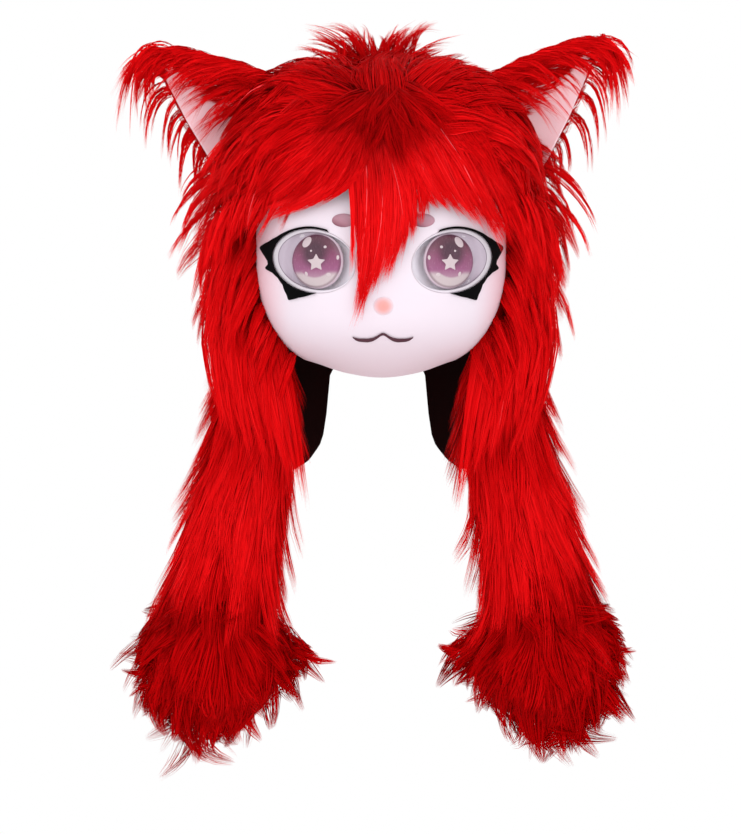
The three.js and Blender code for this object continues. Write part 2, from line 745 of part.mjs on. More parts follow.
function napeLocks(side) {
  return NAPE_LOCKS.map(({ turnAngle, drop }) => {
    const angle = turnAngle * DEGREE;
    const point = (down, out) => {
      const x = side * (HOOD.halfWidth + out) * Math.sin(angle);
      const y = LAPPET.centreY + LAPPET.halfDepth + (HOOD.depth + out) * Math.cos(angle);
      return at(x, y, HOOD_TOP - down * HOOD.length);
    };
    const outward = at(side * Math.sin(angle), Math.cos(angle), 0);
    const middle = HOOD.wall + HOOD.nape / 2;
    return {
      root: point(NAPE.root, middle),
      bend: point(NAPE.bend * drop, middle + LOCK.sink),
      tip: point(drop, middle),
      width: NAPE.width,
      outward,
    };
  });
}

function napeFur(cap) {
  const inner = HOOD.wall + GAP;
  const wall = hoodWall(inner, HOOD.wall + HOOD.nape).subtract(underArch(LOCK.sink));
  const body = SIDES.reduce((made, { side }) => furred(made, napeLocks(side)), wall);
  const neck = hoodWall(-HOOD.halfWidth / 2, inner);
  return carved(body, [cap, neck, dome(HEAD, GAP), ...lappetCutters()]);
}

// Locks beside the face: roots and tips in shares of the fur form's half width, its front
// and its reach above or below the widest ring, width in shares of the usual one
const SIDE_LOCKS = [
  { rootX: 0.84, rootY: 0.36, rootZ: -0.34, tipX: 0.51, tipY: 0.2, tipZ: -1.7, width: 0.96 },
  { rootX: 0.86, rootY: 0.42, rootZ: -0.24, tipX: 0.62, tipY: 0.24, tipZ: -1.62, width: 1 },
  { rootX: 0.9, rootY: 0.46, rootZ: -0.12, tipX: 0.75, tipY: 0.26, tipZ: -1.52, width: 0.92 },
  { rootX: 0.94, rootY: 0.38, rootZ: 0.0, tipX: 0.88, tipY: 0.22, tipZ: -1.38, width: 0.96 },
  { rootX: 0.98, rootY: 0.28, rootZ: 0.1, tipX: 1.03, tipY: 0.14, tipZ: -1.16, width: 0.92 },
  { rootX: 0.98, rootY: 0.18, rootZ: 0.16, tipX: 1.13, tipY: 0.08, tipZ: -0.86, width: 0.88 },
  { rootX: 0.98, rootY: 0.14, rootZ: 0.24, tipX: 1.17, tipY: 0.04, tipZ: -0.52, width: 0.84 },
  { rootX: 0.98, rootY: 0.1, rootZ: 0.34, tipX: 1.21, tipY: 0.0, tipZ: -0.2, width: 0.76 },
  { rootX: 0.97, rootY: 0.12, rootZ: 0.46, tipX: 1.28, tipY: 0.02, tipZ: 0.14, width: 0.72 },
];

// How far a side lock bows out and forward, and how much its flat side faces the front
const SIDE_BEND = { out: 11, ahead: 6.6, facing: 2 };

function sideLocks(side) {
  return SIDE_LOCKS.map((row) => {
    const root = at(side * row.rootX * CAP.halfWidth, -row.rootY * CAP.front, heightOn(CAP, row.rootZ));
    const tip = at(side * row.tipX * CAP.halfWidth, -row.tipY * CAP.front, heightOn(CAP, row.tipZ));
    const bend = root.clone().lerp(tip, 0.5).add(at(side * SIDE_BEND.out, -SIDE_BEND.ahead, 0));
    const outward = at(side * row.rootX, -row.rootY * SIDE_BEND.facing, 0).normalize();
    return { root, bend, tip, width: row.width, outward };
  });
}

// Steps of the fur form that the backing of the side locks covers
const SIDE_BACKING = { turns: [3, 5], rises: [-1, 1], thick: 7 };

function sideHair(side, cap) {
  const turns = side > 0 ? SIDE_BACKING.turns : SIDE_BACKING.turns.map((turn) => -turn).reverse();
  const backing = panel(CAP, turns, SIDE_BACKING.rises, GAP, SIDE_BACKING.thick);
  return carved(furred(backing, sideLocks(side)), [cap, dome(HEAD, GAP), ...lappetCutters()]);
}

// Fringe: roots on the fur form and tips over the face, in shares of the half widths
// and of the reaches above or below the widest ring, width in shares of the usual one
const FRINGE_LOCKS = [
  { rootX: -0.4, rootZ: 0.82, tipX: -0.99, tipZ: 0.1, width: 0.76 },
  { rootX: -0.34, rootZ: 0.8, tipX: -0.84, tipZ: 0.17, width: 0.8 },
  { rootX: -0.26, rootZ: 0.78, tipX: -0.64, tipZ: 0.24, width: 0.8 },
  { rootX: -0.18, rootZ: 0.76, tipX: -0.42, tipZ: 0.3, width: 0.8 },
  { rootX: -0.1, rootZ: 0.78, tipX: -0.28, tipZ: 0.1, width: 0.8 },
  { rootX: -0.03, rootZ: 0.76, tipX: -0.2, tipZ: -0.52, width: 0.88 },
  { rootX: 0.04, rootZ: 0.78, tipX: -0.04, tipZ: -0.32, width: 0.84 },
  { rootX: 0.1, rootZ: 0.76, tipX: 0.14, tipZ: -0.2, width: 0.8 },
  { rootX: 0.16, rootZ: 0.78, tipX: 0.28, tipZ: 0.12, width: 0.76 },
  { rootX: 0.22, rootZ: 0.76, tipX: 0.46, tipZ: 0.28, width: 0.8 },
  { rootX: 0.3, rootZ: 0.8, tipX: 0.66, tipZ: 0.22, width: 0.8 },
  { rootX: 0.38, rootZ: 0.82, tipX: 0.88, tipZ: 0.13, width: 0.8 },
  { rootX: 0.44, rootZ: 0.82, tipX: 1.0, tipZ: 0.02, width: 0.68 },
];
const FRINGE = { turns: [-3, 3], rises: [2, 3], thick: 7, lift: 17, proud: 14 };
const FRINGE_BEND = { across: 0.62, down: 0.45, tilt: 0.2 };

function fringeLocks() {
  return FRINGE_LOCKS.map((row) => {
    const root = onFront(CAP, row.rootX * CAP.halfWidth, heightOn(CAP, row.rootZ), FRINGE.thick);
    const tipX = row.tipX * HEAD.halfWidth;
    const tip = onFront(HEAD, tipX, heightOn(HEAD, row.tipZ), FRINGE.proud);
    const bendX = mix(root.x, tip.x, FRINGE_BEND.across);
    const bendZ = mix(root.z, tip.z, FRINGE_BEND.down);
    const bend = onFront(CAP, bendX, bendZ, FRINGE.lift);
    const outward = at(bend.x / CAP.halfWidth, -1, FRINGE_BEND.tilt).normalize();
    return { root, bend, tip, width: row.width, outward };
  });
}

function fringe(cutters) {
  const backing = panel(CAP, FRINGE.turns, FRINGE.rises, GAP, FRINGE.thick);
  const face = dome(HEAD, TRIM + 3 * GAP);
  return carved(furred(backing, fringeLocks()), [face, ...cutters]);
}

// Tuft on the crown: tips in shares of the tuft's half width, its height and lean forward
const TUFT = { halfWidth: 80, height: 46, base: 34, thick: 8, width: 0.52 };
const TUFT_BEND = { root: 0.3, out: 0.45, up: 0.8 };
const TUFT_LOCKS = [
  { across: -1, up: 0.68, ahead: 0.1 },
  { across: -0.68, up: 0.92, ahead: -0.15 },
  { across: -0.34, up: 0.84, ahead: 0.15 },
  { across: 0.02, up: 0.7, ahead: -0.2 },
  { across: 0.2, up: 0.72, ahead: 0.2 },
  { across: 0.46, up: 0.94, ahead: -0.1 },
  { across: 0.82, up: 1, ahead: 0.1 },
];

function crownTuft(cap) {
  const top = CAP.centreZ + CAP.up;
  const disc = uprightPrism(roundShape(TUFT.base, TUFT.base, 2), top - TUFT.height, top + TUFT.height);
  const backing = disc.intersect(dome(CAP, TUFT.thick));
  const locks = TUFT_LOCKS.map(({ across, up, ahead }) => {
    const tip = at(across * TUFT.halfWidth, ahead * TUFT.halfWidth, top + up * TUFT.height);
    const root = tip.clone().multiplyScalar(TUFT_BEND.root).setZ(top - LOCK.sink);
    const bend = tip.clone().multiplyScalar(TUFT_BEND.out);
    bend.setZ(top + up * TUFT.height * TUFT_BEND.up);
    return { root, bend, tip, width: TUFT.width, outward: at(0, -1, 0) };
  });
  return carved(furred(backing, locks), [cap]);
}

// Colours and surfaces
const finish = (color, roughness) => new THREE.MeshStandardMaterial({ color, roughness, metalness: 0 });
const MATERIALS = {
  face: finish(0xf1e6ee, 0.6),
  fur: finish(0xc81012, 0.75),
  darkFur: finish(0x98060a, 0.8),
  lining: finish(0x1c0a0a, 0.9),
  earLining: finish(0xebcdd4, 0.9),
  bowl: finish(0xc8bcc6, 0.5),
  lens: finish(0x7a3d5c, 0.25),
  line: finish(0x0a0a0c, 0.7),
  brow: finish(0xa6707c, 0.8),
  nose: finish(0xfcb0ac, 0.6),
  mouth: finish(0x91606e, 0.7),
};

const head = new THREE.Group();

// Adds a solid to the head as a named piece
function add(name, body, material) {
  const { numProp, numVert, vertProperties, triVerts } = body.getMesh();
  const corners = new Float32Array(numVert * 3);
  for (let i = 0; i < numVert; i += 1) {
    corners.set(vertProperties.subarray(i * numProp, i * numProp + 3), i * 3);
  }
  const geometry = new THREE.BufferGeometry();
  geometry.setAttribute("position", new THREE.BufferAttribute(corners, 3));
  geometry.setIndex(new THREE.BufferAttribute(triVerts, 1));
  geometry.computeVertexNormals();
  const piece = new THREE.Mesh(geometry, material);
  piece.name = name;
  head.add(piece);
}

const capCutter = hairCap(GAP);
const shellCutter = dome(HEAD, GAP);
const earCutters = EARS.map((ear) => earBody(ear, GAP));

add("head_shell", headShell(), MATERIALS.face);
add("nose", nose(), MATERIALS.nose);
add("mouth_line", mouthLine(), MATERIALS.mouth);
add("hair_cap", hairCap(), MATERIALS.fur);
add("hood_lining", hoodLining(), MATERIALS.lining);
add("nape_fur", napeFur(capCutter), MATERIALS.fur);
add("fringe", fringe([capCutter, ...earCutters]), MATERIALS.fur);
add("crown_tuft", crownTuft(capCutter), MATERIALS.fur);

for (const { name, side } of SIDES) {
  add("eye_bowl_" + name, eyeBowl(side), MATERIALS.bowl);
  add("iris_" + name, iris(side), MATERIALS.lens);
  add("eyeline_" + name, eyeline(side), MATERIALS.line);
  add("brow_spot_" + name, browSpot(side), MATERIALS.brow);
  add("side_hair_" + name, sideHair(side, capCutter), MATERIALS.fur);
  add("lappet_" + name, carved(lappetBody(side), [capCutter, shellCutter]), MATERIALS.fur);
  add("paw_" + name, paw(side), MATERIALS.darkFur);
}

for (const ear of EARS) {
  add("ear_" + ear.name, carved(earBody(ear), [capCutter]), MATERIALS.fur);
  add("ear_lining_" + ear.name, carved(earLining(ear), [capCutter]), MATERIALS.earLining);
}

export default head;
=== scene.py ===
# Looks of a worn costume head: a pale face shell with recessed eyes, long red fur in locks,
# two lined ears, and a hood whose two lappets end in stuffed paws.
# Forms are worked out in millimetres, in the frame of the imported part, and become metres
# when a mesh is made.

import math

import bmesh
import bpy
import numpy as np
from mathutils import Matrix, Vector, kdtree


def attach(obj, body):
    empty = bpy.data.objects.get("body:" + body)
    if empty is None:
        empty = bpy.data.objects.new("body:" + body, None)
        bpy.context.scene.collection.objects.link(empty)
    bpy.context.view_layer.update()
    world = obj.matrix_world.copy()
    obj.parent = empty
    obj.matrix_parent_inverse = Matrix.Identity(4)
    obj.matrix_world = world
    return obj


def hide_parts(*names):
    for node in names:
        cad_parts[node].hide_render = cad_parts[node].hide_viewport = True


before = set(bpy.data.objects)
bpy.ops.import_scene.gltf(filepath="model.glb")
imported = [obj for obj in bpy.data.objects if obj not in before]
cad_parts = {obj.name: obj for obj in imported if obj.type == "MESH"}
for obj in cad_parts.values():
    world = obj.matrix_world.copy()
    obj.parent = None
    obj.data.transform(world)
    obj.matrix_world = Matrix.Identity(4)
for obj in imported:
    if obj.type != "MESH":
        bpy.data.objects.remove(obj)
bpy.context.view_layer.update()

MM = 0.001
SIDES = (("left", -1), ("right", 1))
ROUND = 2.4  # how square the plan and most outlines are; 2 would be an oval
rng = np.random.default_rng(11)

# How many strands a coat has, or each of its locks
CAP_COUNT = dict(coat=18600, starts=150, lock=66)
FRINGE_COUNT = dict(lock=334, parting=110)
SIDE_COUNT = dict(coat=4600, layered=76, wisp=60, hanging=280)
TUFT_COUNT = 34
LAPPET_COUNT = 10400
PAW_COUNT = dict(front=4900, front_side=1800, rear_side=1000, rear=2800, rim=3400)
EAR_COUNT = dict(rear=1700, front=2200, veil=15, tip=50, edge=80)
NAPE_COUNT = 4000


# Rounded forms

class Form:
    """A rounded form about a centre: half sizes in millimetres and how square each curve is."""

    def __init__(
        self, half_width, front, back, up, down, centre_z, round_up, round_down=ROUND, round_plan=ROUND
    ):
        self.half_width = half_width
        self.front = front
        self.back = back
        self.up = up
        self.down = down
        self.centre_z = centre_z
        self.round_up = round_up
        self.round_down = round_down
        self.round_plan = round_plan

    def parts(self, points):
        x, y, z = points[..., 0], points[..., 1], points[..., 2] - self.centre_z
        deep = np.where(y < 0, self.front, self.back)
        tall = np.where(z > 0, self.up, self.down)
        power = np.where(z > 0, self.round_up, self.round_down)
        return x / self.half_width, y / deep, z / tall, deep, tall, power

    def onto(self, points, out=0.0):
        """The points moved to the surface along lines from the centre, then out along the normal."""
        x, y, z, _, _, power = self.parts(points)
        plan = (np.abs(x) ** self.round_plan + np.abs(y) ** self.round_plan) ** (power / self.round_plan)
        scale = np.maximum(plan + np.abs(z) ** power, 1e-9) ** (1 / power)
        centre = np.array([0.0, 0.0, self.centre_z])
        surface = centre + (points - centre) / scale[..., None]
        return surface + self.normal(surface) * np.asarray(out)[..., None]

    def normal(self, points):
        x, y, z, deep, tall, power = self.parts(points)
        n = self.round_plan
        plan = np.maximum(np.abs(x) ** n + np.abs(y) ** n, 1e-9)
        share = plan ** (power / n - 1)
        slope = np.stack(
            [
                share * signed_power(x, n - 1) / self.half_width,
                share * signed_power(y, n - 1) / deep,
                signed_power(z, power - 1) / tall,
            ],
            -1,
        )
        return unit(slope)

    def point(self, turn, rise, out=0.0):
        """A point by its turn from the face and its rise above the widest ring, both arrays."""
        upper = np.sin(rise) >= 0
        power = np.where(upper, self.round_up, self.round_down)
        ring = np.abs(np.cos(rise)) ** (2 / power)
        across = signed_power(np.sin(turn), 2 / self.round_plan)
        along = signed_power(np.cos(turn), 2 / self.round_plan)
        deep = np.where(along > 0, self.front, self.back)
        tall = np.where(upper, self.up, self.down)
        return np.stack(
            [
                (self.half_width + out) * ring * across,
                -(deep + out) * ring * along,
                self.centre_z + (tall + out) * signed_power(np.sin(rise), 2 / power),
            ],
            -1,
        )

    def on_front(self, x, z, out=0.0):
        """Points on the front, from their x and z."""
        x, z = np.broadcast_arrays(np.asarray(x, float), np.asarray(z, float))
        upper = z > self.centre_z
        power = np.where(upper, self.round_up, self.round_down)
        tall = np.where(upper, self.up, self.down) + out
        rise = np.abs(z - self.centre_z) / tall
        ring = np.maximum(1 - rise**power, 0) ** (self.round_plan / power)
        across = (np.abs(x) / (self.half_width + out)) ** self.round_plan
        depth = (self.front + out) * np.maximum(ring - across, 0) ** (1 / self.round_plan)
        return np.stack([x, -depth, z], -1)


def signed_power(value, power):
    return np.sign(value) * np.abs(value) ** power


def unit(vectors):
    return vectors / np.maximum(np.linalg.norm(vectors, axis=-1, keepdims=True), 1e-9)


def smooth(low, high, value):
    share = np.clip((value - low) / (high - low), 0, 1)
    return share * share * (3 - 2 * share)


HEAD = Form(145, 150, 145, 172, 145, -165, ROUND)
WALL = 7
CAP = Form(182, 165, 185, 218, 170, -165, 3.3)
CAP_BOTTOM = -262
NECK = dict(half_width=88, half_depth=86, centre_y=24, lip=80)
FACE_OPENING = dict(half_width=148, top=103, rear=-25)


# Mesh helpers

def piece(name, points, faces, materials, uv=None):
    """A mesh object from points in millimetres; uv holds a pair for each corner."""
    mesh = bpy.data.meshes.new(name)
    mesh.from_pydata((np.asarray(points, float) * MM).tolist(), [], [list(f) for f in faces])
    if uv is not None:
        mesh.uv_layers.new(name="OFBake").data.foreach_set("uv", np.asarray(uv, np.float32).ravel())
    for material in materials:
        mesh.materials.append(material)
    mesh.polygons.foreach_set("use_smooth", [True] * len(mesh.polygons))
    mesh.update()
    made = bpy.data.objects.new(name, mesh)
    bpy.context.scene.collection.objects.link(made)
    return made


def grid_faces(rows, columns, closed=False, start=0):
    """Quads over a grid of points, row by row; closed joins each row's ends."""
    faces = []
    steps = columns if closed else columns - 1
    for j in range(rows - 1):
        for i in range(steps):
            a = start + j * columns + i
            b = start + j * columns + (i + 1) % columns
            faces.append((a, b, b + columns, a + columns))
    return faces


def corner_uv(faces, uv):
    """A uv pair for each corner of the faces, from a pair for each point."""
    return np.asarray(uv)[np.concatenate([np.asarray(face) for face in faces])]


def fix_normals(made):
    work = bmesh.new()
    work.from_mesh(made.data)
    bmesh.ops.recalc_face_normals(work, faces=work.faces)
    work.to_mesh(made.data)
    work.free()


def closed_sheet(front, rear):
    """Points and faces of a thin sheet: two grids of points, joined round their rim."""
    rows, columns = front.shape[:2]
    size = rows * columns
    points = np.concatenate([front.reshape(-1, 3), rear.reshape(-1, 3)])
    faces = grid_faces(rows, columns)
    faces += [face[::-1] for face in grid_faces(rows, columns, start=size)]
    rim = list(range(columns)) + [j * columns + columns - 1 for j in range(1, rows)]
    rim += [(rows - 1) * columns + i for i in range(columns - 2, -1, -1)]
    rim += [j * columns for j in range(rows - 2, 0, -1)]
    for here, there in zip(rim, rim[1:] + rim[:1]):
        faces.append((here, there, there + size, here + size))
    return points, faces


def place(made, node):
    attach(made, "root")
    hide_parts(node)
    return made


# Materials

def srgb(r, g, b):
    """A colour on the 0 to 255 scale as a linear one."""
    value = np.array([r, g, b]) / 255
    linear = np.where(value <= 0.04045, value / 12.92, ((value + 0.055) / 1.055) ** 2.4)
    return (*linear.tolist(), 1.0)


class Surface:
    """A material with its nodes, and short ways to add more."""

    def __init__(self, name, **settings):
        self.material = bpy.data.materials.new(name)
        self.material.use_nodes = True
        self.tree = self.material.node_tree
        self.shader = self.tree.nodes["Principled BSDF"]
        for socket, value in settings.items():
            self.shader.inputs[socket.replace("_", " ")].default_value = value

    def add(self, kind, inputs=None, **settings):
        made = self.tree.nodes.new(kind)
        for key, value in settings.items():
            setattr(made, key, value)
        for key, value in (inputs or {}).items():
            self.feed(made.inputs[key], value)
        return made

    def feed(self, socket, value):
        if isinstance(value, bpy.types.NodeSocket):
            self.tree.links.new(value, socket)
        else:
            socket.default_value = value

    def place(self):
        return self.add("ShaderNodeTexCoord").outputs["Object"]

    def uv(self):
        """The two shares of the bake map."""
        found = self.add("ShaderNodeUVMap", uv_map="OFBake").outputs["UV"]
        split = self.add("ShaderNodeSeparateXYZ", {"Vector": found})
        return found, split.outputs["X"], split.outputs["Y"]

    def noise(self, scale, stretch=(1, 1, 1), detail=3.0, at=None):
        moved = self.add("ShaderNodeMapping", {"Vector": at or self.place(), "Scale": stretch})
        inputs = {"Vector": moved.outputs["Vector"], "Scale": scale, "Detail": detail}
        return self.add("ShaderNodeTexNoise", inputs).outputs["Fac"]

    def ramp(self, value, stops):
        made = self.add("ShaderNodeValToRGB", {"Fac": value})
        elements = made.color_ramp.elements
        while len(elements) < len(stops):
            elements.new(0.5)
        for element, (spot, colour) in zip(elements, stops):
            element.position = spot
            element.color = colour if len(colour) == 4 else (*colour, 1.0)
        return made.outputs["Color"]

    def mix(self, share, first, second, blend="MIX"):
        made = self.add("ShaderNodeMix", data_type="RGBA", blend_type=blend)
        self.feed(made.inputs[0], share)
        self.feed(made.inputs[6], first)
        self.feed(made.inputs[7], second)
        return made.outputs[2]

    def tint(self, body, share, amount, colour):
        """The body's colour, drawn by an amount to another one where the share is high."""
        return self.mix(self.math("MULTIPLY", share, amount), body, colour)

    def distance(self, point, spot):
        return self.add("ShaderNodeVectorMath", {0: point, 1: spot}, operation="DISTANCE").outputs["Value"]

    def math(self, operation, first, second=0.0, clamp=False):
        made = self.add("ShaderNodeMath", operation=operation, use_clamp=clamp)
        self.feed(made.inputs[0], first)
        self.feed(made.inputs[1], second)
        return made.outputs[0]

    def span(self, value, low, high, to_low=0.0, to_high=1.0):
        inputs = {"Value": value, "From Min": low, "From Max": high, "To Min": to_low, "To Max": to_high}
        return self.add("ShaderNodeMapRange", inputs, interpolation_type="SMOOTHSTEP").outputs["Result"]

    def colour(self, value):
        self.feed(self.shader.inputs["Base Color"], value)

    def rough(self, value, low, high):
        self.feed(self.shader.inputs["Roughness"], self.span(value, 0.2, 0.8, low, high))

    def bump(self, height, strength, distance):
        made = self.add("ShaderNodeBump", {"Height": height, "Strength": strength, "Distance": distance})
        self.feed(self.shader.inputs["Normal"], made.outputs["Normal"])


def fur_material(name, stops):
    """Strands: the map's u picks the shade and v runs from root to tip; painted shade darkens the roots and
    the deep parting near the whorl.
    """
    made = Surface(name, Specular_IOR_Level=0.03, Specular_Tint=(1.0, 0.3, 0.3, 1.0), Roughness=0.5)
    _, shade, along = made.uv()
    body = made.ramp(shade, list(zip(SHADES, stops)))
    # painted shade: darker towards the roots, deep in the coat
    depth = made.ramp(along, [(0.0, (0.72, 0.72, 0.72)), (0.35, (0.92, 0.92, 0.92)), (1.0, (1, 1, 1))])
    # painted shade round the whorl, where the parting lies deep between the locks
    spot = made.add("ShaderNodeVectorMath", {0: made.place(), 1: (14.3, 0.0, 12.5)}, operation="MULTIPLY")
    deep = made.span(made.distance(spot.outputs[0], (-0.14, 0.0, -0.12)), 0.2, 1.45, 0.67, 1.0)
    body = made.mix(1.0, body, depth, "MULTIPLY")
    made.colour(made.mix(1.0, body, deep, "MULTIPLY"))
    made.rough(shade, 0.62, 0.42)
    return made.material


# strand tones from dark to light: the dark end is painted shade and the pink top is painted highlight
SHADES = (0.0, 0.25, 0.5, 0.75, 0.93, 1.0)
RED = [
    srgb(136, 0, 2), srgb(184, 3, 6), srgb(226, 9, 13),
    srgb(246, 20, 24), srgb(255, 36, 40), srgb(255, 96, 104),
]
# the same red fur in painted shade, for the paws
SHADED_RED = [
    srgb(104, 0, 1), srgb(146, 0, 2), srgb(184, 1, 4),
    srgb(208, 5, 9), srgb(228, 12, 16), srgb(244, 60, 66),
]


def face_material():
    made = Surface("short_plush_face", Roughness=0.62, Specular_IOR_Level=0.3)
    split = made.add("ShaderNodeSeparateXYZ", {"Vector": made.place()})
    across = made.math("ABSOLUTE", split.outputs["X"])
    # painted shade: the face turns pinker towards its sides and darker at the chin
    edge_shade = made.math("MULTIPLY", made.span(across, 0.1, 0.15), 0.8)
    chin = made.math("MULTIPLY", made.span(split.outputs["Z"], -0.235, -0.312), 0.62)
    tinted = made.mix(edge_shade, srgb(227, 215, 225), srgb(222, 164, 174))
    tinted = made.mix(chin, tinted, srgb(196, 168, 175))
    cloud = made.noise(26, detail=2.0)
    made.colour(made.tint(tinted, cloud, 0.12, srgb(214, 202, 214)))
    fuzz = made.noise(900, detail=2.0)
    made.rough(fuzz, 0.55, 0.7)
    made.bump(fuzz, 0.12, 0.0004)
    return made.material


def eye_white_material():
    """Bowl: v runs from its middle to its outer edge, u from its inner to its outer corner."""
    made = Surface("eye_bowl_satin", Roughness=0.45, Specular_IOR_Level=0.3)
    _, around, out = made.uv()
    floor, step = srgb(180, 166, 180), srgb(112, 98, 110)
    # painted shade: a thin dark line on the bowl's wall at its outer side
    outer = made.ramp(out, [
        (0.0, floor), (0.585, floor), (0.6, step), (0.625, step),
        (0.64, srgb(200, 192, 200)), (1.0, srgb(210, 202, 209)),
    ])
    inner = made.ramp(out, [
        (0.0, srgb(206, 198, 209)), (0.6, srgb(216, 208, 218)),
        (0.72, srgb(214, 207, 216)), (0.9, srgb(224, 213, 222)),
    ])
    body = made.mix(made.span(around, 0.4, 0.62), inner, outer)
    speck = made.noise(300, detail=2.0)
    made.colour(made.tint(body, speck, 0.1, srgb(180, 168, 180)))
    made.bump(speck, 0.05, 0.0003)
    return made.material


def iris_material():
    """Printed iris under its lens: the map spans its width and height."""
    gloss = dict(Roughness=0.22, Specular_IOR_Level=0.3, Coat_Weight=0.25, Coat_Roughness=0.12)
    made = Surface("printed_iris", **gloss)
    uv, _, up = made.uv()
    body = made.ramp(up, [
        (0.06, srgb(190, 168, 176)), (0.2, srgb(168, 130, 150)), (0.36, srgb(142, 76, 116)),
        (0.6, srgb(122, 54, 88)), (0.78, srgb(90, 40, 56)), (0.97, srgb(70, 30, 40)),
    ])
    # a dark middle above the star, a pale crescent below it, and a dark rim with a clear edge
    middle = made.distance(uv, (0.5, 0.64, 0.0))
    body = made.tint(body, made.span(middle, 0.33, 0.12), 0.9, srgb(44, 18, 30))
    low = made.distance(uv, (0.5, 0.56, 0.0))
    crescent = made.math("MULTIPLY", made.span(low, 0.33, 0.37), made.span(up, 0.34, 0.24))
    body = made.tint(body, crescent, 0.85, srgb(198, 186, 186))
    rim = made.distance(uv, (0.5, 0.5, 0.0))
    body = made.tint(body, made.span(rim, 0.42, 0.45), 0.5, srgb(84, 44, 64))
    body = made.tint(body, made.span(rim, 0.462, 0.472), 0.9, srgb(196, 178, 190))
    grain = made.noise(14, stretch=(3, 1, 1), detail=4.0, at=uv)
    made.colour(made.tint(body, grain, 0.2, srgb(170, 124, 152)))
    made.rough(grain, 0.18, 0.3)
    return made.material


def cloth_material(name, base, other, rough, weave, depth, **settings):
    """Cloth: two close colours in a fine nap or weave."""
    made = Surface(name, **{"Roughness": rough, "Specular_IOR_Level": 0.2, **settings})
    fine = made.noise(weave, detail=3.0)
    broad = made.noise(weave / 40, detail=2.0)
    share = made.math("ADD", made.math("MULTIPLY", fine, 0.5), made.math("MULTIPLY", broad, 0.4))
    made.colour(made.mix(share, base, other))
    made.rough(fine, rough - 0.06, rough + 0.06)
    made.bump(fine, 0.3, depth)
    return made.material


def brow_material():
    made = Surface("brow_felt", Roughness=0.85, Specular_IOR_Level=0.2)
    _, across, up = made.uv()
    across, up = made.math("MULTIPLY", across, 0.5), made.math("MULTIPLY", up, 0.6)
    # painted shade: darker towards the pad's lower left edge
    shade = made.math("ADD", across, up, clamp=True)
    body = made.ramp(shade, [
        (0.12, srgb(120, 66, 82)), (0.45, srgb(178, 132, 146)), (1.0, srgb(196, 158, 172)),
    ])
    nap = made.noise(1200, detail=2.0)
    made.colour(made.tint(body, nap, 0.2, srgb(150, 96, 112)))
    made.bump(nap, 0.3, 0.0003)
    return made.material


def nose_material():
    """Soft pink that fades to the face's colour at the rim of the button."""
    made = Surface("nose_plush", Roughness=0.7, Specular_IOR_Level=0.2)
    uv, _, _ = made.uv()
    body = made.ramp(made.distance(uv, (0.5, 0.5, 0.0)), [
        (0.0, srgb(236, 156, 150)), (0.22, srgb(236, 164, 160)),
        (0.38, srgb(230, 192, 198)), (0.48, srgb(227, 213, 222)),
    ])
    nap = made.noise(1200, detail=2.0)
    made.colour(made.tint(body, nap, 0.15, srgb(236, 150, 146)))
    made.bump(nap, 0.2, 0.0003)
    return made.material


MATERIALS = {
    "fur": fur_material("long_red_fur", RED),
    # the paws' fur: the red fur in painted shade
    "paw_fur": fur_material("long_red_fur_painted_shade", SHADED_RED),
    "face_shell": face_material(),
    "eye_white": eye_white_material(),
    "iris": iris_material(),
    "eye_line": cloth_material(
        "black_felt", srgb(3, 3, 4), srgb(9, 8, 10), 0.8, 1500, 0.0003, Specular_IOR_Level=0.04
    ),
    "brow": brow_material(),
    "nose": nose_material(),
    "mouth": cloth_material("mouth_thread", srgb(92, 54, 66), srgb(60, 30, 40), 0.75, 1400, 0.0003),
    "hood_lining": cloth_material(
        "black_jersey", srgb(14, 3, 3), srgb(28, 6, 6), 0.85, 1300, 0.0005, Specular_IOR_Level=0.05
    ),
    "ear_lining": cloth_material("pale_plush", srgb(255, 228, 234), srgb(255, 204, 214), 0.9, 700, 0.0012),
    "spark": cloth_material("pale_print", srgb(206, 190, 194), srgb(192, 174, 180), 0.35, 400, 0.0001),
}


# Strands

def frames(paths, outward):
    """Sideways and outward directions along each path."""
    tangent = unit(np.gradient(paths, axis=1))
    if outward.ndim == 2:
        outward = np.repeat(outward[:, None, :], paths.shape[1], axis=1)
    sideways = unit(np.cross(tangent, outward))
    return sideways, unit(np.cross(sideways, tangent))


# a strand's width along it, by its number of points
WIDTHS = {4: (0.85, 1.0, 0.6), 5: (0.8, 1.0, 0.85, 0.5), 6: (0.8, 1.0, 0.95, 0.75, 0.45)}


# how far strands turn about their own length, and how much of their shading is the whole coat's
ROLL, SOFTNESS = 0.75, 0.55


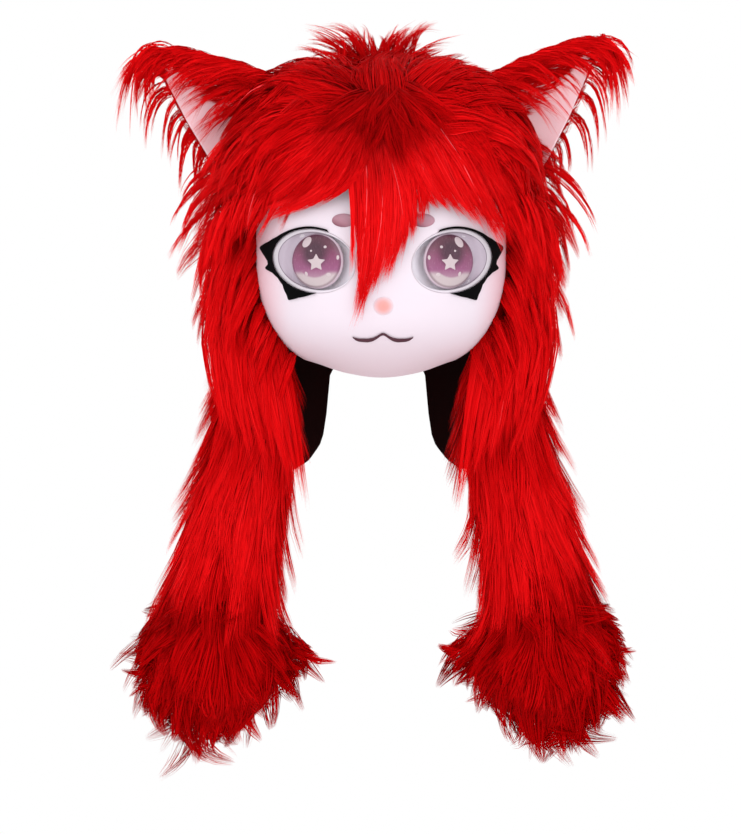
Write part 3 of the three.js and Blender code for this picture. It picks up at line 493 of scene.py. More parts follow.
class Strands:
    """Tapered ribbons, gathered from several calls and made into one mesh."""

    def __init__(self):
        self.points, self.normals, self.uv = [], [], []
        self.quads, self.tips = [], []
        self.count = 0

    def add(self, paths, width, outward, shade):
        """Paths in millimetres, each strand's width, its outward direction and its shade."""
        number, steps, _ = paths.shape
        sideways, lift = frames(paths, outward)
        angle = rng.normal(0, ROLL, number).clip(-1.2, 1.2)[:, None, None]
        across = sideways * np.cos(angle) + lift * np.sin(angle)
        flat = lift * np.cos(angle) - sideways * np.sin(angle)
        normal = unit(lift * SOFTNESS + flat * (1 - SOFTNESS) + rng.normal(0, 0.12, (number, 1, 3)))
        profile = np.array(WIDTHS[steps])[None, :, None]
        half = np.broadcast_to(np.asarray(width, float), (number,))[:, None, None] * profile / 2
        left = paths[:, :-1] - across[:, :-1] * half
        right = paths[:, :-1] + across[:, :-1] * half
        pairs = np.stack([left, right], 2).reshape(number, -1, 3)
        points = np.concatenate([pairs, paths[:, -1:]], 1)
        twice = np.repeat(normal[:, :-1], 2, axis=1)
        along = np.linspace(0.02, 0.98, steps)
        v = np.concatenate([np.repeat(along[:-1], 2), along[-1:]])
        side = np.concatenate([np.tile([-0.004, 0.004], steps - 1), [0.0]])
        u = np.clip(np.broadcast_to(shade, (number,)), 0.01, 0.99)[:, None] + side[None]
        uv = np.stack([u, np.broadcast_to(v, u.shape)], -1)
        per = points.shape[1]
        base = self.count + per * np.arange(number)[:, None, None]
        rung = 2 * np.arange(steps - 2)[None, :, None]
        self.quads.append((base + rung + np.array([0, 1, 3, 2])).reshape(-1, 4))
        self.tips.append((base[:, 0] + np.array([per - 3, per - 2, per - 1])).reshape(-1, 3))
        self.points.append(points.reshape(-1, 3))
        self.normals.append(np.concatenate([twice, normal[:, -1:]], 1).reshape(-1, 3))
        self.uv.append(uv.reshape(-1, 2))
        self.count += number * per

    def under(self, points, faces, normals, shade):
        """A closed coat under the strands, in dark tones that paint the shade deep in the fur; each quad
        takes its own dark shade.
        """
        spots = points[faces]
        facing = np.cross(spots[:, 1] - spots[:, 0], spots[:, 3] - spots[:, 0])
        inward = np.sum(facing * normals[faces[:, 0]], -1) < 0
        faces = np.where(inward[:, None], faces[:, ::-1], faces)
        corners = points[faces].reshape(-1, 3)
        number = len(faces)
        self.points.append(corners)
        self.normals.append(normals[faces].reshape(-1, 3))
        u = np.clip(np.broadcast_to(shade, (number,)) + rng.normal(0, 0.03, number), 0.01, 0.97)
        spots = np.array([[0, 0], [0.01, 0], [0.01, 0.1], [0, 0.1]])
        self.uv.append((np.stack([u, np.full(number, 0.12)], -1)[:, None] + spots).reshape(-1, 2))
        self.quads.append(self.count + np.arange(4 * number).reshape(-1, 4))
        self.count += 4 * number

    def mesh(self, name, material):
        points = np.concatenate(self.points) * MM
        normals = np.concatenate(self.normals)
        uv = np.concatenate(self.uv)
        quads = np.concatenate(self.quads)
        tips = np.concatenate(self.tips) if self.tips else np.zeros((0, 3), int)
        corners = np.concatenate([quads.ravel(), tips.ravel()]).astype(np.int32)
        starts = np.concatenate([4 * np.arange(len(quads)), 4 * len(quads) + 3 * np.arange(len(tips))])
        mesh = bpy.data.meshes.new(name)
        mesh.vertices.add(len(points))
        mesh.vertices.foreach_set("co", points.astype(np.float32).ravel())
        mesh.loops.add(len(corners))
        mesh.loops.foreach_set("vertex_index", corners)
        mesh.polygons.add(len(starts))
        mesh.polygons.foreach_set("loop_start", starts.astype(np.int32))
        mesh.uv_layers.new(name="OFBake").data.foreach_set("uv", uv[corners].astype(np.float32).ravel())
        mesh.materials.append(material)
        mesh.update(calc_edges=True)
        mesh.polygons.foreach_set("use_smooth", np.ones(len(starts), bool))
        mesh.normals_split_custom_set_from_vertices(unit(normals).tolist())
        made = bpy.data.objects.new(name, mesh)
        bpy.context.scene.collection.objects.link(made)
        return made

    def stand_for(self, node, name):
        return place(self.mesh(name, MATERIALS["fur"]), node)


def bezier(root, bend, tip, steps):
    """Points along quadratic curves; each end is an array of points, steps of shares."""
    s = steps[..., None]
    return root[:, None] * (1 - s) ** 2 + bend[:, None] * 2 * s * (1 - s) + tip[:, None] * s**2


def lock(
    strands, root, bend, tip, width, outward, number, shade, steps=6, depth=0.4, thick=0.85, loose=1.0
):
    """One lock: wisps that rise from its root, side by side, and draw to their own points."""
    root, bend, tip, outward = (np.asarray(v, float) for v in (root, bend, tip, outward))
    wisps = max(3, number // 34)
    wisp_across = rng.uniform(-1, 1, wisps)
    wisp_end = rng.normal(0, 1, wisps)
    wisp_reach = rng.uniform(0.84, 1.06, wisps)
    mine = rng.integers(0, wisps, number)
    across = np.clip(wisp_across[mine] + rng.normal(0, 0.2, number), -1.15, 1.15)
    high = rng.uniform(0, 1, number) * np.sqrt(np.clip(1 - across**2, 0.02, 1))
    start = rng.uniform(0, 0.36, number) ** 1.3
    end = np.clip(wisp_reach[mine] * rng.uniform(0.82, 1.04, number), 0.3, 1.1)
    s = start[:, None] + (end - start)[:, None] * np.linspace(0, 1, steps)[None]
    ones = np.ones((number, 1))
    centre = bezier(root * ones, bend * ones, tip * ones, s)
    sideways, lift = frames(centre, outward * ones)
    share = np.clip(s, 0, 1)
    spread = np.interp(share, [0, 0.35, 0.7, 1], [0.85, 1.0, 0.66, 0.14]) * width / 2
    gather = 1 - 0.8 * share**1.2
    offset = wisp_across[mine][:, None] + (across - wisp_across[mine])[:, None] * gather
    stray = (wisp_end[mine] * 0.07 + rng.normal(0, 0.04, number)) * width * loose
    paths = centre + sideways * (offset * spread + stray[:, None] * share**2)[..., None]
    rise = np.sin(np.pi * share**0.75)
    paths = paths + lift * (high[:, None] * width * depth * rise * 0.6)[..., None]
    # painted shade and highlight: strands higher in the lock are lighter, deeper ones darker, and a few are
    # lit as painted highlights
    shades = shade + rng.normal(0, 0.07, number) + wisp_end[mine] * 0.055 + 0.08 * (high - 0.4)
    shades = shades + 0.24 * (rng.uniform(0, 1, number) > 0.965)
    bowed = unit(outward[None] + sideways[:, 0] * across[:, None] * 0.6)
    strands.add(paths, thick * rng.uniform(0.7, 1.25, number), bowed, shades)


def leaders(roots, size):
    """For each root, the nearest of a few that lead a clump of about a size."""
    chosen = rng.choice(len(roots), max(1, int(len(roots) / size)), replace=False)
    tree = kdtree.KDTree(len(chosen))
    for i, leader in enumerate(chosen):
        tree.insert(roots[leader], i)
    tree.balance()
    return chosen[np.array([tree.find(root)[1] for root in roots])]


def along_surface(heading, normal):
    """The heading, turned to lie in the surface."""
    return unit(heading - normal * np.sum(heading * normal, -1, keepdims=True))


def gathered(paths, nearest, pull):
    """Draws each strand to its leader, more towards the tip."""
    share = (np.linspace(0, 1, paths.shape[1]) ** 1.3)[None, :, None] * pull
    return paths + (paths[nearest] - paths) * share


def coat(
    strands, form, roots, flow, length, lift, shade,
    steps=4, thick=1.0, size=34, pull=0.7, fall=0.0, wild=0.25,
):
    """Fur over a form: strands that start at the roots and follow the flow over the surface."""
    number = len(roots)
    nearest = leaders(roots, size)
    own = rng.normal(0, 1, (number, 3))[nearest]
    spot = form.onto(roots)
    heading = flow(spot) + rng.normal(0, 0.08, (number, 3)) + own * wild
    length = np.broadcast_to(length, (number,)) * rng.uniform(0.75, 1.15, number)
    lift = np.broadcast_to(lift, (number,)) * np.clip(1 + 0.5 * own[:, 0], 0.2, 2.2)
    paths = np.zeros((number, steps, 3))
    paths[:, 0] = spot
    for k in range(1, steps):
        ahead = along_surface(heading, form.normal(spot))
        spot = form.onto(spot + ahead * (length / (steps - 1))[:, None])
        share = k / (steps - 1)
        paths[:, k] = spot + form.normal(spot) * (lift * share**1.2)[:, None]
        heading = heading + np.array([0, 0, -fall]) / steps
    paths = gathered(paths, nearest, pull)
    shades = np.broadcast_to(shade, (number,)) + rng.normal(0, 0.065, number) + 0.05 * own[:, 1]
    strands.add(paths, thick * rng.uniform(0.7, 1.25, number), form.normal(paths[:, 0]), shades)


def scattered(points, faces, number):
    """Random points over quads, in step with their areas, and the quads that they are on."""
    corners = points[faces]
    facing = np.cross(corners[:, 1] - corners[:, 0], corners[:, 3] - corners[:, 0])
    area = np.linalg.norm(facing, axis=1)
    share = np.cumsum(area) / area.sum()
    pick = np.searchsorted(share, rng.uniform(0, 1, number)).clip(0, len(faces) - 1)
    a, b = rng.uniform(0, 1, (2, number, 1))
    c = corners[pick]
    return (c[:, 0] * (1 - a) + c[:, 1] * a) * (1 - b) + (c[:, 3] * (1 - a) + c[:, 2] * a) * b, pick


# Face shell

def mound(x, z):
    """How far the muzzle swells under the nose."""
    return 2.6 * np.exp(-((x / 46) ** 2) - ((z + 266) / 30) ** 2)


def on_face(x, z, out=0.0):
    return HEAD.on_front(x, z, out) + np.stack([0 * x, -mound(x, z), 0 * x], -1)


EYE = dict(half_width=47.3, half_height=35.9, across=0.543 * 145, z=-177, tilt=math.radians(13.7))


def eye_point(side, angle, reach=1.0, grow=0.0, shift=0.0):
    """A point of the eye's tilted oval in the front view; the angle starts at its outer end."""
    long = (EYE["half_width"] + grow) * reach * np.cos(angle)
    short = (EYE["half_height"] + grow) * reach * np.sin(angle)
    across = long * math.cos(EYE["tilt"]) - short * math.sin(EYE["tilt"]) - shift
    up = long * math.sin(EYE["tilt"]) + short * math.cos(EYE["tilt"])
    return side * (EYE["across"] + across), EYE["z"] + up


def prism(name, outline, low, high, axis):
    """A closed prism through an outline of two coordinates, along y or z."""
    rings = [np.insert(outline, "xyz".index(axis), level, axis=1) for level in (low, high)]
    count = len(outline)
    faces = grid_faces(2, count, closed=True)
    faces += [tuple(range(count))[::-1], tuple(range(count, 2 * count))]
    made = piece(name, np.concatenate(rings), faces, [])
    fix_normals(made)
    return made


def cut(made, cutters):
    for cutter in cutters:
        boolean = made.modifiers.new("cut", "BOOLEAN")
        boolean.operation = "DIFFERENCE"
        boolean.solver = "EXACT"
        boolean.object = cutter
    bpy.context.view_layer.update()
    graph = bpy.context.evaluated_depsgraph_get()
    made.data = bpy.data.meshes.new_from_object(made.evaluated_get(graph))
    made.modifiers.clear()
    for cutter in cutters:
        bpy.data.objects.remove(cutter)


SHELL_STEPS = (128, 60)


def chin(points):
    """How far the padded lower lip of the shell comes down in the middle, and up beside it."""
    across = np.abs(points[:, 0])
    low = smooth(-270, -302, points[:, 2]) * smooth(50, -30, points[:, 1])
    return low * (3.5 * np.exp(-(((across - 76) / 22) ** 2)) - 7.5 * np.exp(-((across / 42) ** 2)))


def rounded_ball(form, out, around, over):
    """Points and faces of a whole form, from its lowest point up."""
    turn = np.linspace(0, 2 * np.pi, around, endpoint=False)
    rise = np.linspace(-np.pi / 2, np.pi / 2, over + 1)[1:-1]
    grid = form.point(*np.meshgrid(turn, rise), out)
    low = form.point(np.zeros(1), np.full(1, -np.pi / 2), out)
    high = form.point(np.zeros(1), np.full(1, np.pi / 2), out)
    points = np.concatenate([grid.reshape(-1, 3), low * [0, 0, 1], high * [0, 0, 1]])
    faces = grid_faces(over - 1, around, closed=True)
    last = (over - 2) * around
    for i in range(around):
        j = (i + 1) % around
        faces += [(j, i, len(points) - 2), (last + i, last + j, len(points) - 1)]
    return points, faces


def face_shell():
    outer, faces = rounded_ball(HEAD, 0.0, *SHELL_STEPS)
    front = outer[:, 1] < 0
    outer[front, 1] -= mound(outer[front, 0], outer[front, 2]) * smooth(0, 60, -outer[front, 1])
    outer[:, 2] += chin(outer)
    inner, inner_faces = rounded_ball(HEAD, -WALL, *SHELL_STEPS)
    faces = faces + [tuple(len(outer) + i for i in face[::-1]) for face in inner_faces]
    made = piece("face_shell", np.concatenate([outer, inner]), faces, [MATERIALS["face_shell"]])
    angle = np.linspace(0, 2 * np.pi, 96, endpoint=False)
    cutters = []
    for _, side in SIDES:
        outline = np.stack(eye_point(side, angle, 1.0, 0.3), -1)
        cutters.append(prism("eye_cut", outline, -400, 0, "y"))
    oval = np.stack([NECK["half_width"] * np.cos(angle), NECK["half_depth"] * np.sin(angle)], -1)
    neck = np.array([0.0, NECK["centre_y"]]) + oval
    bottom = HEAD.centre_z - HEAD.down
    cutters.append(prism("neck_cut", neck, bottom - 20, bottom + NECK["lip"], "z"))
    cut(made, cutters)
    made.data.polygons.foreach_set("use_smooth", [True] * len(made.data.polygons))
    made.data.set_sharp_from_angle(angle=math.radians(40))
    return place(made, "head_shell")


# Eyes

IRIS = dict(half_width=28.9, half_height=31.9, rise=7, shift=4, recess=9)

BOWL_RINGS = [
    # reach and growth of the oval, its shift towards the nose, depth and place in the map
    (0.25, -5, 2.5, -9, 0.12), (0.5, -5, 2.5, -9, 0.25), (0.7, -5, 2.5, -9, 0.35),
    (0.84, -5, 2.5, -9, 0.43), (0.93, -5, 2.5, -9, 0.5), (1, -4.6, 2.5, -8.6, 0.56),
    (1, -3.9, 2.5, -7.4, 0.6), (1, -3.5, 2.4, -4, 0.63), (1, -3.1, 2.2, -1.6, 0.66),
    (1, -2.6, 1.9, -0.6, 0.7), (1, -1.8, 1.2, -0.2, 0.8), (1, -1.0, 0.5, -0.1, 0.86),
    (1, -0.2, 0, -0.4, 0.9), (1, 0, 0, -1.0, 0.93), (1, 0, 0, -13, 0.96), (0.6, 0, 0, -13, 0.98),
]
BOWL_AROUND = 96
BOWL_MIDDLE = dict(shift=2.5, front=-9, rear=-13)


def fan(rings, centre, last=None, flip=False):
    """Points and faces of rings round a middle point, closed by another one behind."""
    count = rings.shape[1]
    points = np.concatenate([rings.reshape(-1, 3), centre[None]])
    faces = grid_faces(len(rings), count, closed=True)
    middle = len(points) - 1
    faces += [((i + 1) % count, i, middle) for i in range(count)]
    if last is not None:
        points = np.concatenate([points, last[None]])
        start = (len(rings) - 1) * count
        faces += [(start + i, start + (i + 1) % count, middle + 1) for i in range(count)]
    return points, [face[::-1] for face in faces] if flip else faces


def ring_uv(count, values, extra):
    """Map shares for rings: round the ring, and the given value."""
    round_share = 0.04 + 0.92 * np.abs(np.linspace(-1, 1, count, endpoint=False))
    rows = [np.stack([round_share, np.full(count, v)], -1) for v in values]
    return np.concatenate([*rows, np.array([[0.5, v] for v in extra])])


def disc_uv(angle, shares, reach):
    """Map shares for the rings of a disc and its middle point: seen flat, about the map's middle."""
    rings = [np.stack([0.5 + reach * s * np.cos(angle), 0.5 + reach * s * np.sin(angle)], -1) for s in shares]
    return np.concatenate([*rings, [[0.5, 0.5]]])


def eye_bowl(name, side):
    angle = np.linspace(0, 2 * np.pi, BOWL_AROUND, endpoint=False)
    rings = []
    for reach, grow, shift, out, _ in BOWL_RINGS:
        x, z = eye_point(side, angle, reach, grow, shift)
        # past the iris, the floor comes up towards the corners
        aside = (x * side - EYE["across"] + IRIS["shift"]) / IRIS["half_width"]
        past = np.sqrt(aside**2 + ((z - EYE["z"]) / IRIS["half_height"]) ** 2)
        rings.append(HEAD.on_front(x, z, out * (1 - 0.82 * smooth(1.03, 1.4, past))))
    x, z = eye_point(side, np.zeros(1), 0.0, 0.0, BOWL_MIDDLE["shift"])
    middle, back = (HEAD.on_front(x, z, BOWL_MIDDLE[end])[0] for end in ("front", "rear"))
    points, faces = fan(np.stack(rings), middle, back, flip=side > 0)
    uv = ring_uv(BOWL_AROUND, [row[-1] for row in BOWL_RINGS], [0.02, 0.99])
    made = piece("eye_white_" + name, points, faces, [MATERIALS["eye_white"]], corner_uv(faces, uv))
    return place(made, "eye_bowl_" + name)


def lens_point(side, a, b, out=0.0):
    """A point on the iris's dome, from its shares of the half width and height."""
    x = side * (EYE["across"] - IRIS["shift"])
    seat = HEAD.on_front(x, EYE["z"], -IRIS["recess"])
    aside = HEAD.on_front(x + side * IRIS["half_width"], EYE["z"], -IRIS["recess"])
    slant = math.atan2(aside[1] - seat[1], IRIS["half_width"])
    bulge = (IRIS["rise"] + out) * np.sqrt(np.clip(1 - a**2 - b**2, 0, 1))
    along = a * IRIS["half_width"] / math.cos(slant)
    x = along * math.cos(slant) * side + bulge * math.sin(slant) * side
    y = along * math.sin(slant) - bulge * math.cos(slant)
    return seat + np.stack([x, y, b * IRIS["half_height"]], -1)


def iris(name, side):
    angle = np.linspace(0, 2 * np.pi, 72, endpoint=False)
    radii = np.sin(np.linspace(0.09, 0.5, 14) * np.pi)
    rings = np.stack([lens_point(side, r * np.cos(angle), r * np.sin(angle)) for r in radii])
    points, faces = fan(rings, lens_point(side, np.zeros(1), np.zeros(1))[0], flip=side > 0)
    uv = disc_uv(angle, radii, 0.49)
    made = piece("iris_dome_" + name, points, faces, [MATERIALS["iris"]], corner_uv(faces, uv))
    place(made, "iris_" + name)
    prints(name, side)


PRINTS = [
    # offset from the iris's middle in millimetres (outwards, up), half sizes, and tilt in degrees
    (9.7, 21.8, 4.5, 6.6, -32), (3.8, 11.8, 1.3, 1.3, 0), (-11.4, 16.2, 1.6, 1.6, 0),
    (-24.6, 4.0, 1.3, 2.6, 0), (9.5, -14.5, 1.6, 2.6, 20), (-15, -15.5, 2.4, 2.0, 0),
]
STAR = dict(out=-2.1, up=-1.8, reach=10.6, waist=0.5)
PRINT_LIFT = 0.25


def printed(side, outline, out, up):
    """A thin raised patch on the lens, from an outline about its middle."""
    rings = []
    for share, lift in ((0.5, PRINT_LIFT), (0.9, PRINT_LIFT), (1.0, 0.0), (1.0, -0.4)):
        a = (-out + outline[:, 0] * share) / IRIS["half_width"]
        b = (up + outline[:, 1] * share) / IRIS["half_height"]
        rings.append(lens_point(side, -a, b, lift))
    a, b = np.full(1, out / IRIS["half_width"]), np.full(1, up / IRIS["half_height"])
    return fan(np.stack(rings), lens_point(side, a, b, PRINT_LIFT)[0], flip=side < 0)


def prints(name, side):
    points, faces = [], []
    outlines = []
    angle = np.linspace(0, 2 * np.pi, 24, endpoint=False)
    for out, up, half_width, half_height, tilt in PRINTS:
        tilt = math.radians(tilt)
        wide, tall = half_width * np.cos(angle), half_height * np.sin(angle)
        x = wide * math.cos(tilt) - tall * math.sin(tilt)
        outlines.append((np.stack([x, wide * math.sin(tilt) + tall * math.cos(tilt)], -1), out, up))
    corner = np.arange(10)
    reach = np.where(corner % 2 == 0, STAR["reach"], STAR["reach"] * STAR["waist"])
    spin = np.pi / 2 + corner * np.pi / 5
    star = np.stack([reach * np.cos(spin), reach * np.sin(spin)], -1)
    edge = np.roll(star, -1, 0) - star
    star = np.concatenate([star + edge * s for s in (0.12, 0.5, 0.88)], 1).reshape(-1, 2)
    outlines.append((star, STAR["out"], STAR["up"]))
    for shape, out, up in outlines:
        some, more = printed(side, shape, out, up)
        faces += [tuple(i + len(points) for i in face) for face in more]
        points += some.tolist()
    made = piece("iris_prints_" + name, points, faces, [MATERIALS["spark"]])
    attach(made, "root")


EYELINE_OUTER = [
    # angle round the eye from its outer end, and reach in shares of its own oval
    (96, 1.07), (76, 1.085), (58, 1.085), (42, 1.09), (26, 1.12), (14, 1.2), (3, 1.335), (0.5, 1.34),
    (-3, 1.29), (-10, 1.2), (-17, 1.14), (-22, 1.145), (-27, 1.235), (-29, 1.235), (-36, 1.13), (-46, 1.09),
    (-58, 1.14), (-70, 1.325), (-74.5, 1.44), (-75.5, 1.44), (-83, 1.26), (-94, 1.1),
]
FELT = dict(eye_line=2.0, mouth=1.3, seat=0.2, edge=0.5)


def felt(name, node, slot, inner, outer):
    """A band of sheet laid on the face between two lines of front-view points."""
    thick, seat = FELT[slot], FELT["seat"]
    edge = thick - FELT["edge"]
    profile = (0, seat), (0, edge), (0.04, thick), (0.5, thick), (0.96, thick), (1, edge), (1, seat)
    rows = []
    for share, out in profile:
        spot = inner + (outer - inner) * share
        rows.append(on_face(spot[:, 0], spot[:, 1], out))
    grid = np.stack(rows)
    tall, columns = grid.shape[:2]
    starts = [j * columns for j in range(tall)]
    ends = [start + columns - 1 for start in starts]
    faces = grid_faces(tall, columns) + [tuple(starts), tuple(ends[::-1])]
    made = piece(name, grid.reshape(-1, 3), faces, [MATERIALS[slot]])
    fix_normals(made)
    made.data.set_sharp_from_angle(angle=math.radians(50))
    return place(made, node)


def eyeline(name, side):
    table = np.array(EYELINE_OUTER)
    first, last = table[0, 0], table[-1, 0]
    angle = np.unique(np.concatenate([np.linspace(first, last, 140), table[:, 0]]))[::-1]
    reach = np.interp(-angle, -table[:, 0], table[:, 1])
    share = (first - angle) / (first - last)
    inner_angle = np.radians(99 - 202 * share)
    outer = np.stack(eye_point(side, np.radians(angle), reach), -1)
    inner = np.stack(eye_point(side, inner_angle, 1.012), -1)
    felt("eye_felt_" + name, "eyeline_" + name, "eye_line", inner, outer)


def button(name, node, slot, x, z, wide, tall, rise, flat=2.6, steep=0.5):
    """A low dome on the face."""
    seat = 0.1
    angle = np.linspace(0, 2 * np.pi, 40, endpoint=False)
    rings = []
    shares = np.linspace(0.12, 1.0, 9)
    for share in shares:
        height = rise * max(1 - share**flat, 0) ** steep
        around = x + wide * share * np.cos(angle), z + tall * share * np.sin(angle)
        rings.append(on_face(*around, height + seat))
    top = on_face(np.array([float(x)]), np.array([float(z)]), rise + seat)[0]
    points, faces = fan(np.stack(rings), top, flip=True)
    uv = corner_uv(faces, disc_uv(angle, shares, 0.48))
    made = piece(name, points, faces, [MATERIALS[slot]], uv)
    return place(made, node)


MOUTH = [
    # from the middle to either end: across as a share of the half width, height and thickness
    (0, 7.6, 3.0), (0.08, 6.6, 3.0), (0.2, 3.6, 3.4), (0.34, 1.1, 4.0), (0.5, 0, 4.2), (0.78, 0.5, 3.6),
    (0.9, 1.6, 2.8), (1, 3.6, 1.2),
]
MOUTH_HALF, MOUTH_BASE = 34.6, -268


def mouth():
    table = np.array(MOUTH)
    x = np.linspace(-1, 1, 120)
    height = np.interp(np.abs(x), table[:, 0], table[:, 1])
    thick = np.interp(np.abs(x), table[:, 0], table[:, 2])
    kernel = np.array([1, 2, 3, 2, 1]) / 9
    height[2:-2] = np.convolve(height, kernel, "valid")
    middle = np.stack([x * MOUTH_HALF, MOUTH_BASE + height], -1)
    offset = np.stack([0 * x, thick / 2], -1)
    felt("mouth_felt", "mouth_line", "mouth", middle - offset, middle + offset)


# Hair cap

WHORL = np.array([6.0, 0.0, -18.0])


def opening(points):
    """How far outside the face opening points are, in millimetres; inside it is negative."""
    x, z = points[..., 0], points[..., 2] - HEAD.centre_z
    wide = np.abs(x) / FACE_OPENING["half_width"]
    tall = np.maximum(z, 0) / FACE_OPENING["top"]
    ring = (wide**ROUND + tall**ROUND) ** (1 / ROUND)
    return np.maximum((ring - 1) * 120, points[..., 1] - FACE_OPENING["rear"])


def crown_flow(points):
    """Away from the whorl over the crown, and more and more downwards further from it."""
    whorl = CAP.on_front(WHORL[0], WHORL[2])
    away = points - whorl
    far = np.linalg.norm(away, axis=-1, keepdims=True)
    weight = smooth(60, 330, far) * 1.6
    return unit(away) + np.array([0, 0, -1.0]) * weight


def cap_coat():
    """The coat under the long fur, tapered down to the shell round the face."""
    turn, rise = np.meshgrid(np.linspace(0, 2 * np.pi, 91), np.linspace(-0.6, np.pi / 2, 52))
    low = HEAD.point(turn, rise, 0.0)
    edge = opening(low)
    low = low + HEAD.normal(low) * np.clip(edge * 0.4, -5, 1.5)[..., None]
    full = CAP.point(turn, rise, -7.0)
    share = smooth(0, 34, edge)[..., None]
    points = (low + (full - low) * share).reshape(-1, 3)
    faces = np.array(grid_faces(*turn.shape))
    shown = (edge.reshape(-1)[faces].max(1) > -4) & (points[faces][..., 2].max(1) > CAP_BOTTOM)
    points[:, 2] = np.maximum(points[:, 2], CAP_BOTTOM)
    return points, faces[shown]


def walk(form, start, flow, distance):
    """Where a strand along the flow gets to over a distance, half way and at its end."""
    steps = 6
    spots = [start]
    for _ in range(steps):
        ahead = along_surface(flow(spots[-1]), form.normal(spots[-1]))
        spots.append(form.onto(spots[-1] + ahead * distance / steps))
    return spots[steps // 2], spots[-1]


def crown_share(points):
    """How near the top of the crown points are, from 0 to 1."""
    return smooth(-80, 30, points[..., 2]) * smooth(120, -60, points[..., 1])


def hair_cap():
    strands = Strands()
    points, faces = cap_coat()
    strands.under(points, faces, CAP.normal(points), 0.25)
    roots, _ = scattered(points, faces, CAP_COUNT["coat"])
    ahead = opening(roots)
    jaw = (roots[:, 2] < -190) & (roots[:, 1] < 70)
    kept = (ahead > 2) & ~jaw
    roots, ahead = roots[kept], ahead[kept]
    shade = 0.5 - 0.19 * crown_share(roots)
    # longer at the back, and shorter where it would hang past the hood's top
    length = 66 + 10 * smooth(60, 110, roots[:, 1])
    length = np.minimum(length, np.where(roots[:, 1] > 0, (roots[:, 2] + 290) / 0.95, 99))
    lift = -3 + 12 * smooth(10, 60, ahead)
    coat(strands, CAP, roots, crown_flow, np.maximum(length, 16), lift, shade, fall=0.5, thick=1.2)
    starts, _ = scattered(points, faces, CAP_COUNT["starts"])
    starts = starts[(opening(starts) > 30) & (starts[:, 2] > -200)]
    for start in starts:
        reach = min(rng.uniform(70, 105), (start[2] + 300) * 0.9)
        begin = CAP.onto(start[None])
        middle, end = walk(CAP, begin, crown_flow, np.array([[reach]]))
        normal = CAP.normal(end)[0]
        begin = begin[0] - CAP.normal(begin)[0] * 6
        shade = 0.52 - 0.19 * crown_share(start)
        bend = middle[0] + CAP.normal(middle)[0] * rng.uniform(9, 16)
        tip = end[0] + normal * rng.uniform(1, 12)
        line, width, number = (begin, bend, tip), rng.uniform(30, 44), CAP_COUNT["lock"]
        lock(strands, *line, width, normal, number, shade, steps=5, depth=0.22, thick=1.0, loose=1.1)
    strands.stand_for("hair_cap", "hair_cap_fur")


# Fringe

FRINGE_BED = Form(163, 157, 160, 200, 150, -165, 2.8)
FRINGE = [
    # root, bend and tip in the front view (x, z, in millimetres), width and shade
    ((-70, 2), (-138, -34), (-206, -80), 48, 0.46),
    ((-58, -2), (-122, -40), (-200, -96), 48, 0.5),
    ((-50, -6), (-112, -50), (-190, -110), 46, 0.52),
    ((-42, -12), (-104, -56), (-178, -120), 46, 0.56),
    ((-36, -18), (-92, -66), (-168, -128), 46, 0.6),
    ((-30, -20), (-80, -74), (-160, -125), 42, 0.62),
    ((-24, -24), (-66, -80), (-150, -125), 36, 0.66),
    ((-18, -28), (-52, -84), (-140, -126), 32, 0.7),
    ((-12, -32), (-40, -88), (-124, -126), 30, 0.72),
    ((-14, -34), (-34, -88), (-98, -117), 28, 0.68),
    ((-16, -36), (-32, -86), (-68, -104), 26, 0.64),
    ((-12, -14), (-60, -50), (-120, -112), 46, 0.5),
    ((-8, -20), (-40, -60), (-84, -106), 44, 0.56),
    ((-28, -26), (-8, -150), (-33, -245), 34, 0.7),
    ((-24, -22), (-20, -110), (-30, -190), 30, 0.66),
    ((-22, -30), (0, -140), (-27, -230), 34, 0.68),
    ((-14, -30), (7, -134), (-18, -216), 34, 0.72),
    ((-8, -30), (13, -128), (-8, -206), 34, 0.74),
    ((-2, -30), (20, -122), (4, -194), 34, 0.73),
    ((4, -30), (26, -112), (17, -176), 34, 0.7),
    ((9, -30), (32, -102), (30, -154), 32, 0.67),
    ((14, -30), (37, -92), (46, -126), 32, 0.64),
    ((15, -30), (40, -86), (62, -116), 32, 0.64),
    ((14, -30), (40, -96), (38, -146), 26, 0.66),
    ((18, -28), (50, -84), (86, -122), 36, 0.68),
    ((24, -26), (64, -80), (108, -134), 38, 0.68),
    ((30, -22), (78, -76), (130, -148), 42, 0.66),
    ((38, -18), (90, -68), (144, -156), 44, 0.62),
    ((46, -12), (102, -58), (158, -150), 46, 0.58),
    ((56, -8), (114, -46), (170, -134), 46, 0.54),
    ((64, -4), (124, -36), (180, -116), 46, 0.5),
    ((74, 0), (138, -26), (190, -94), 46, 0.46),
    ((16, -16), (66, -50), (120, -108), 46, 0.54),
    ((10, -20), (42, -60), (88, -104), 44, 0.58),
]


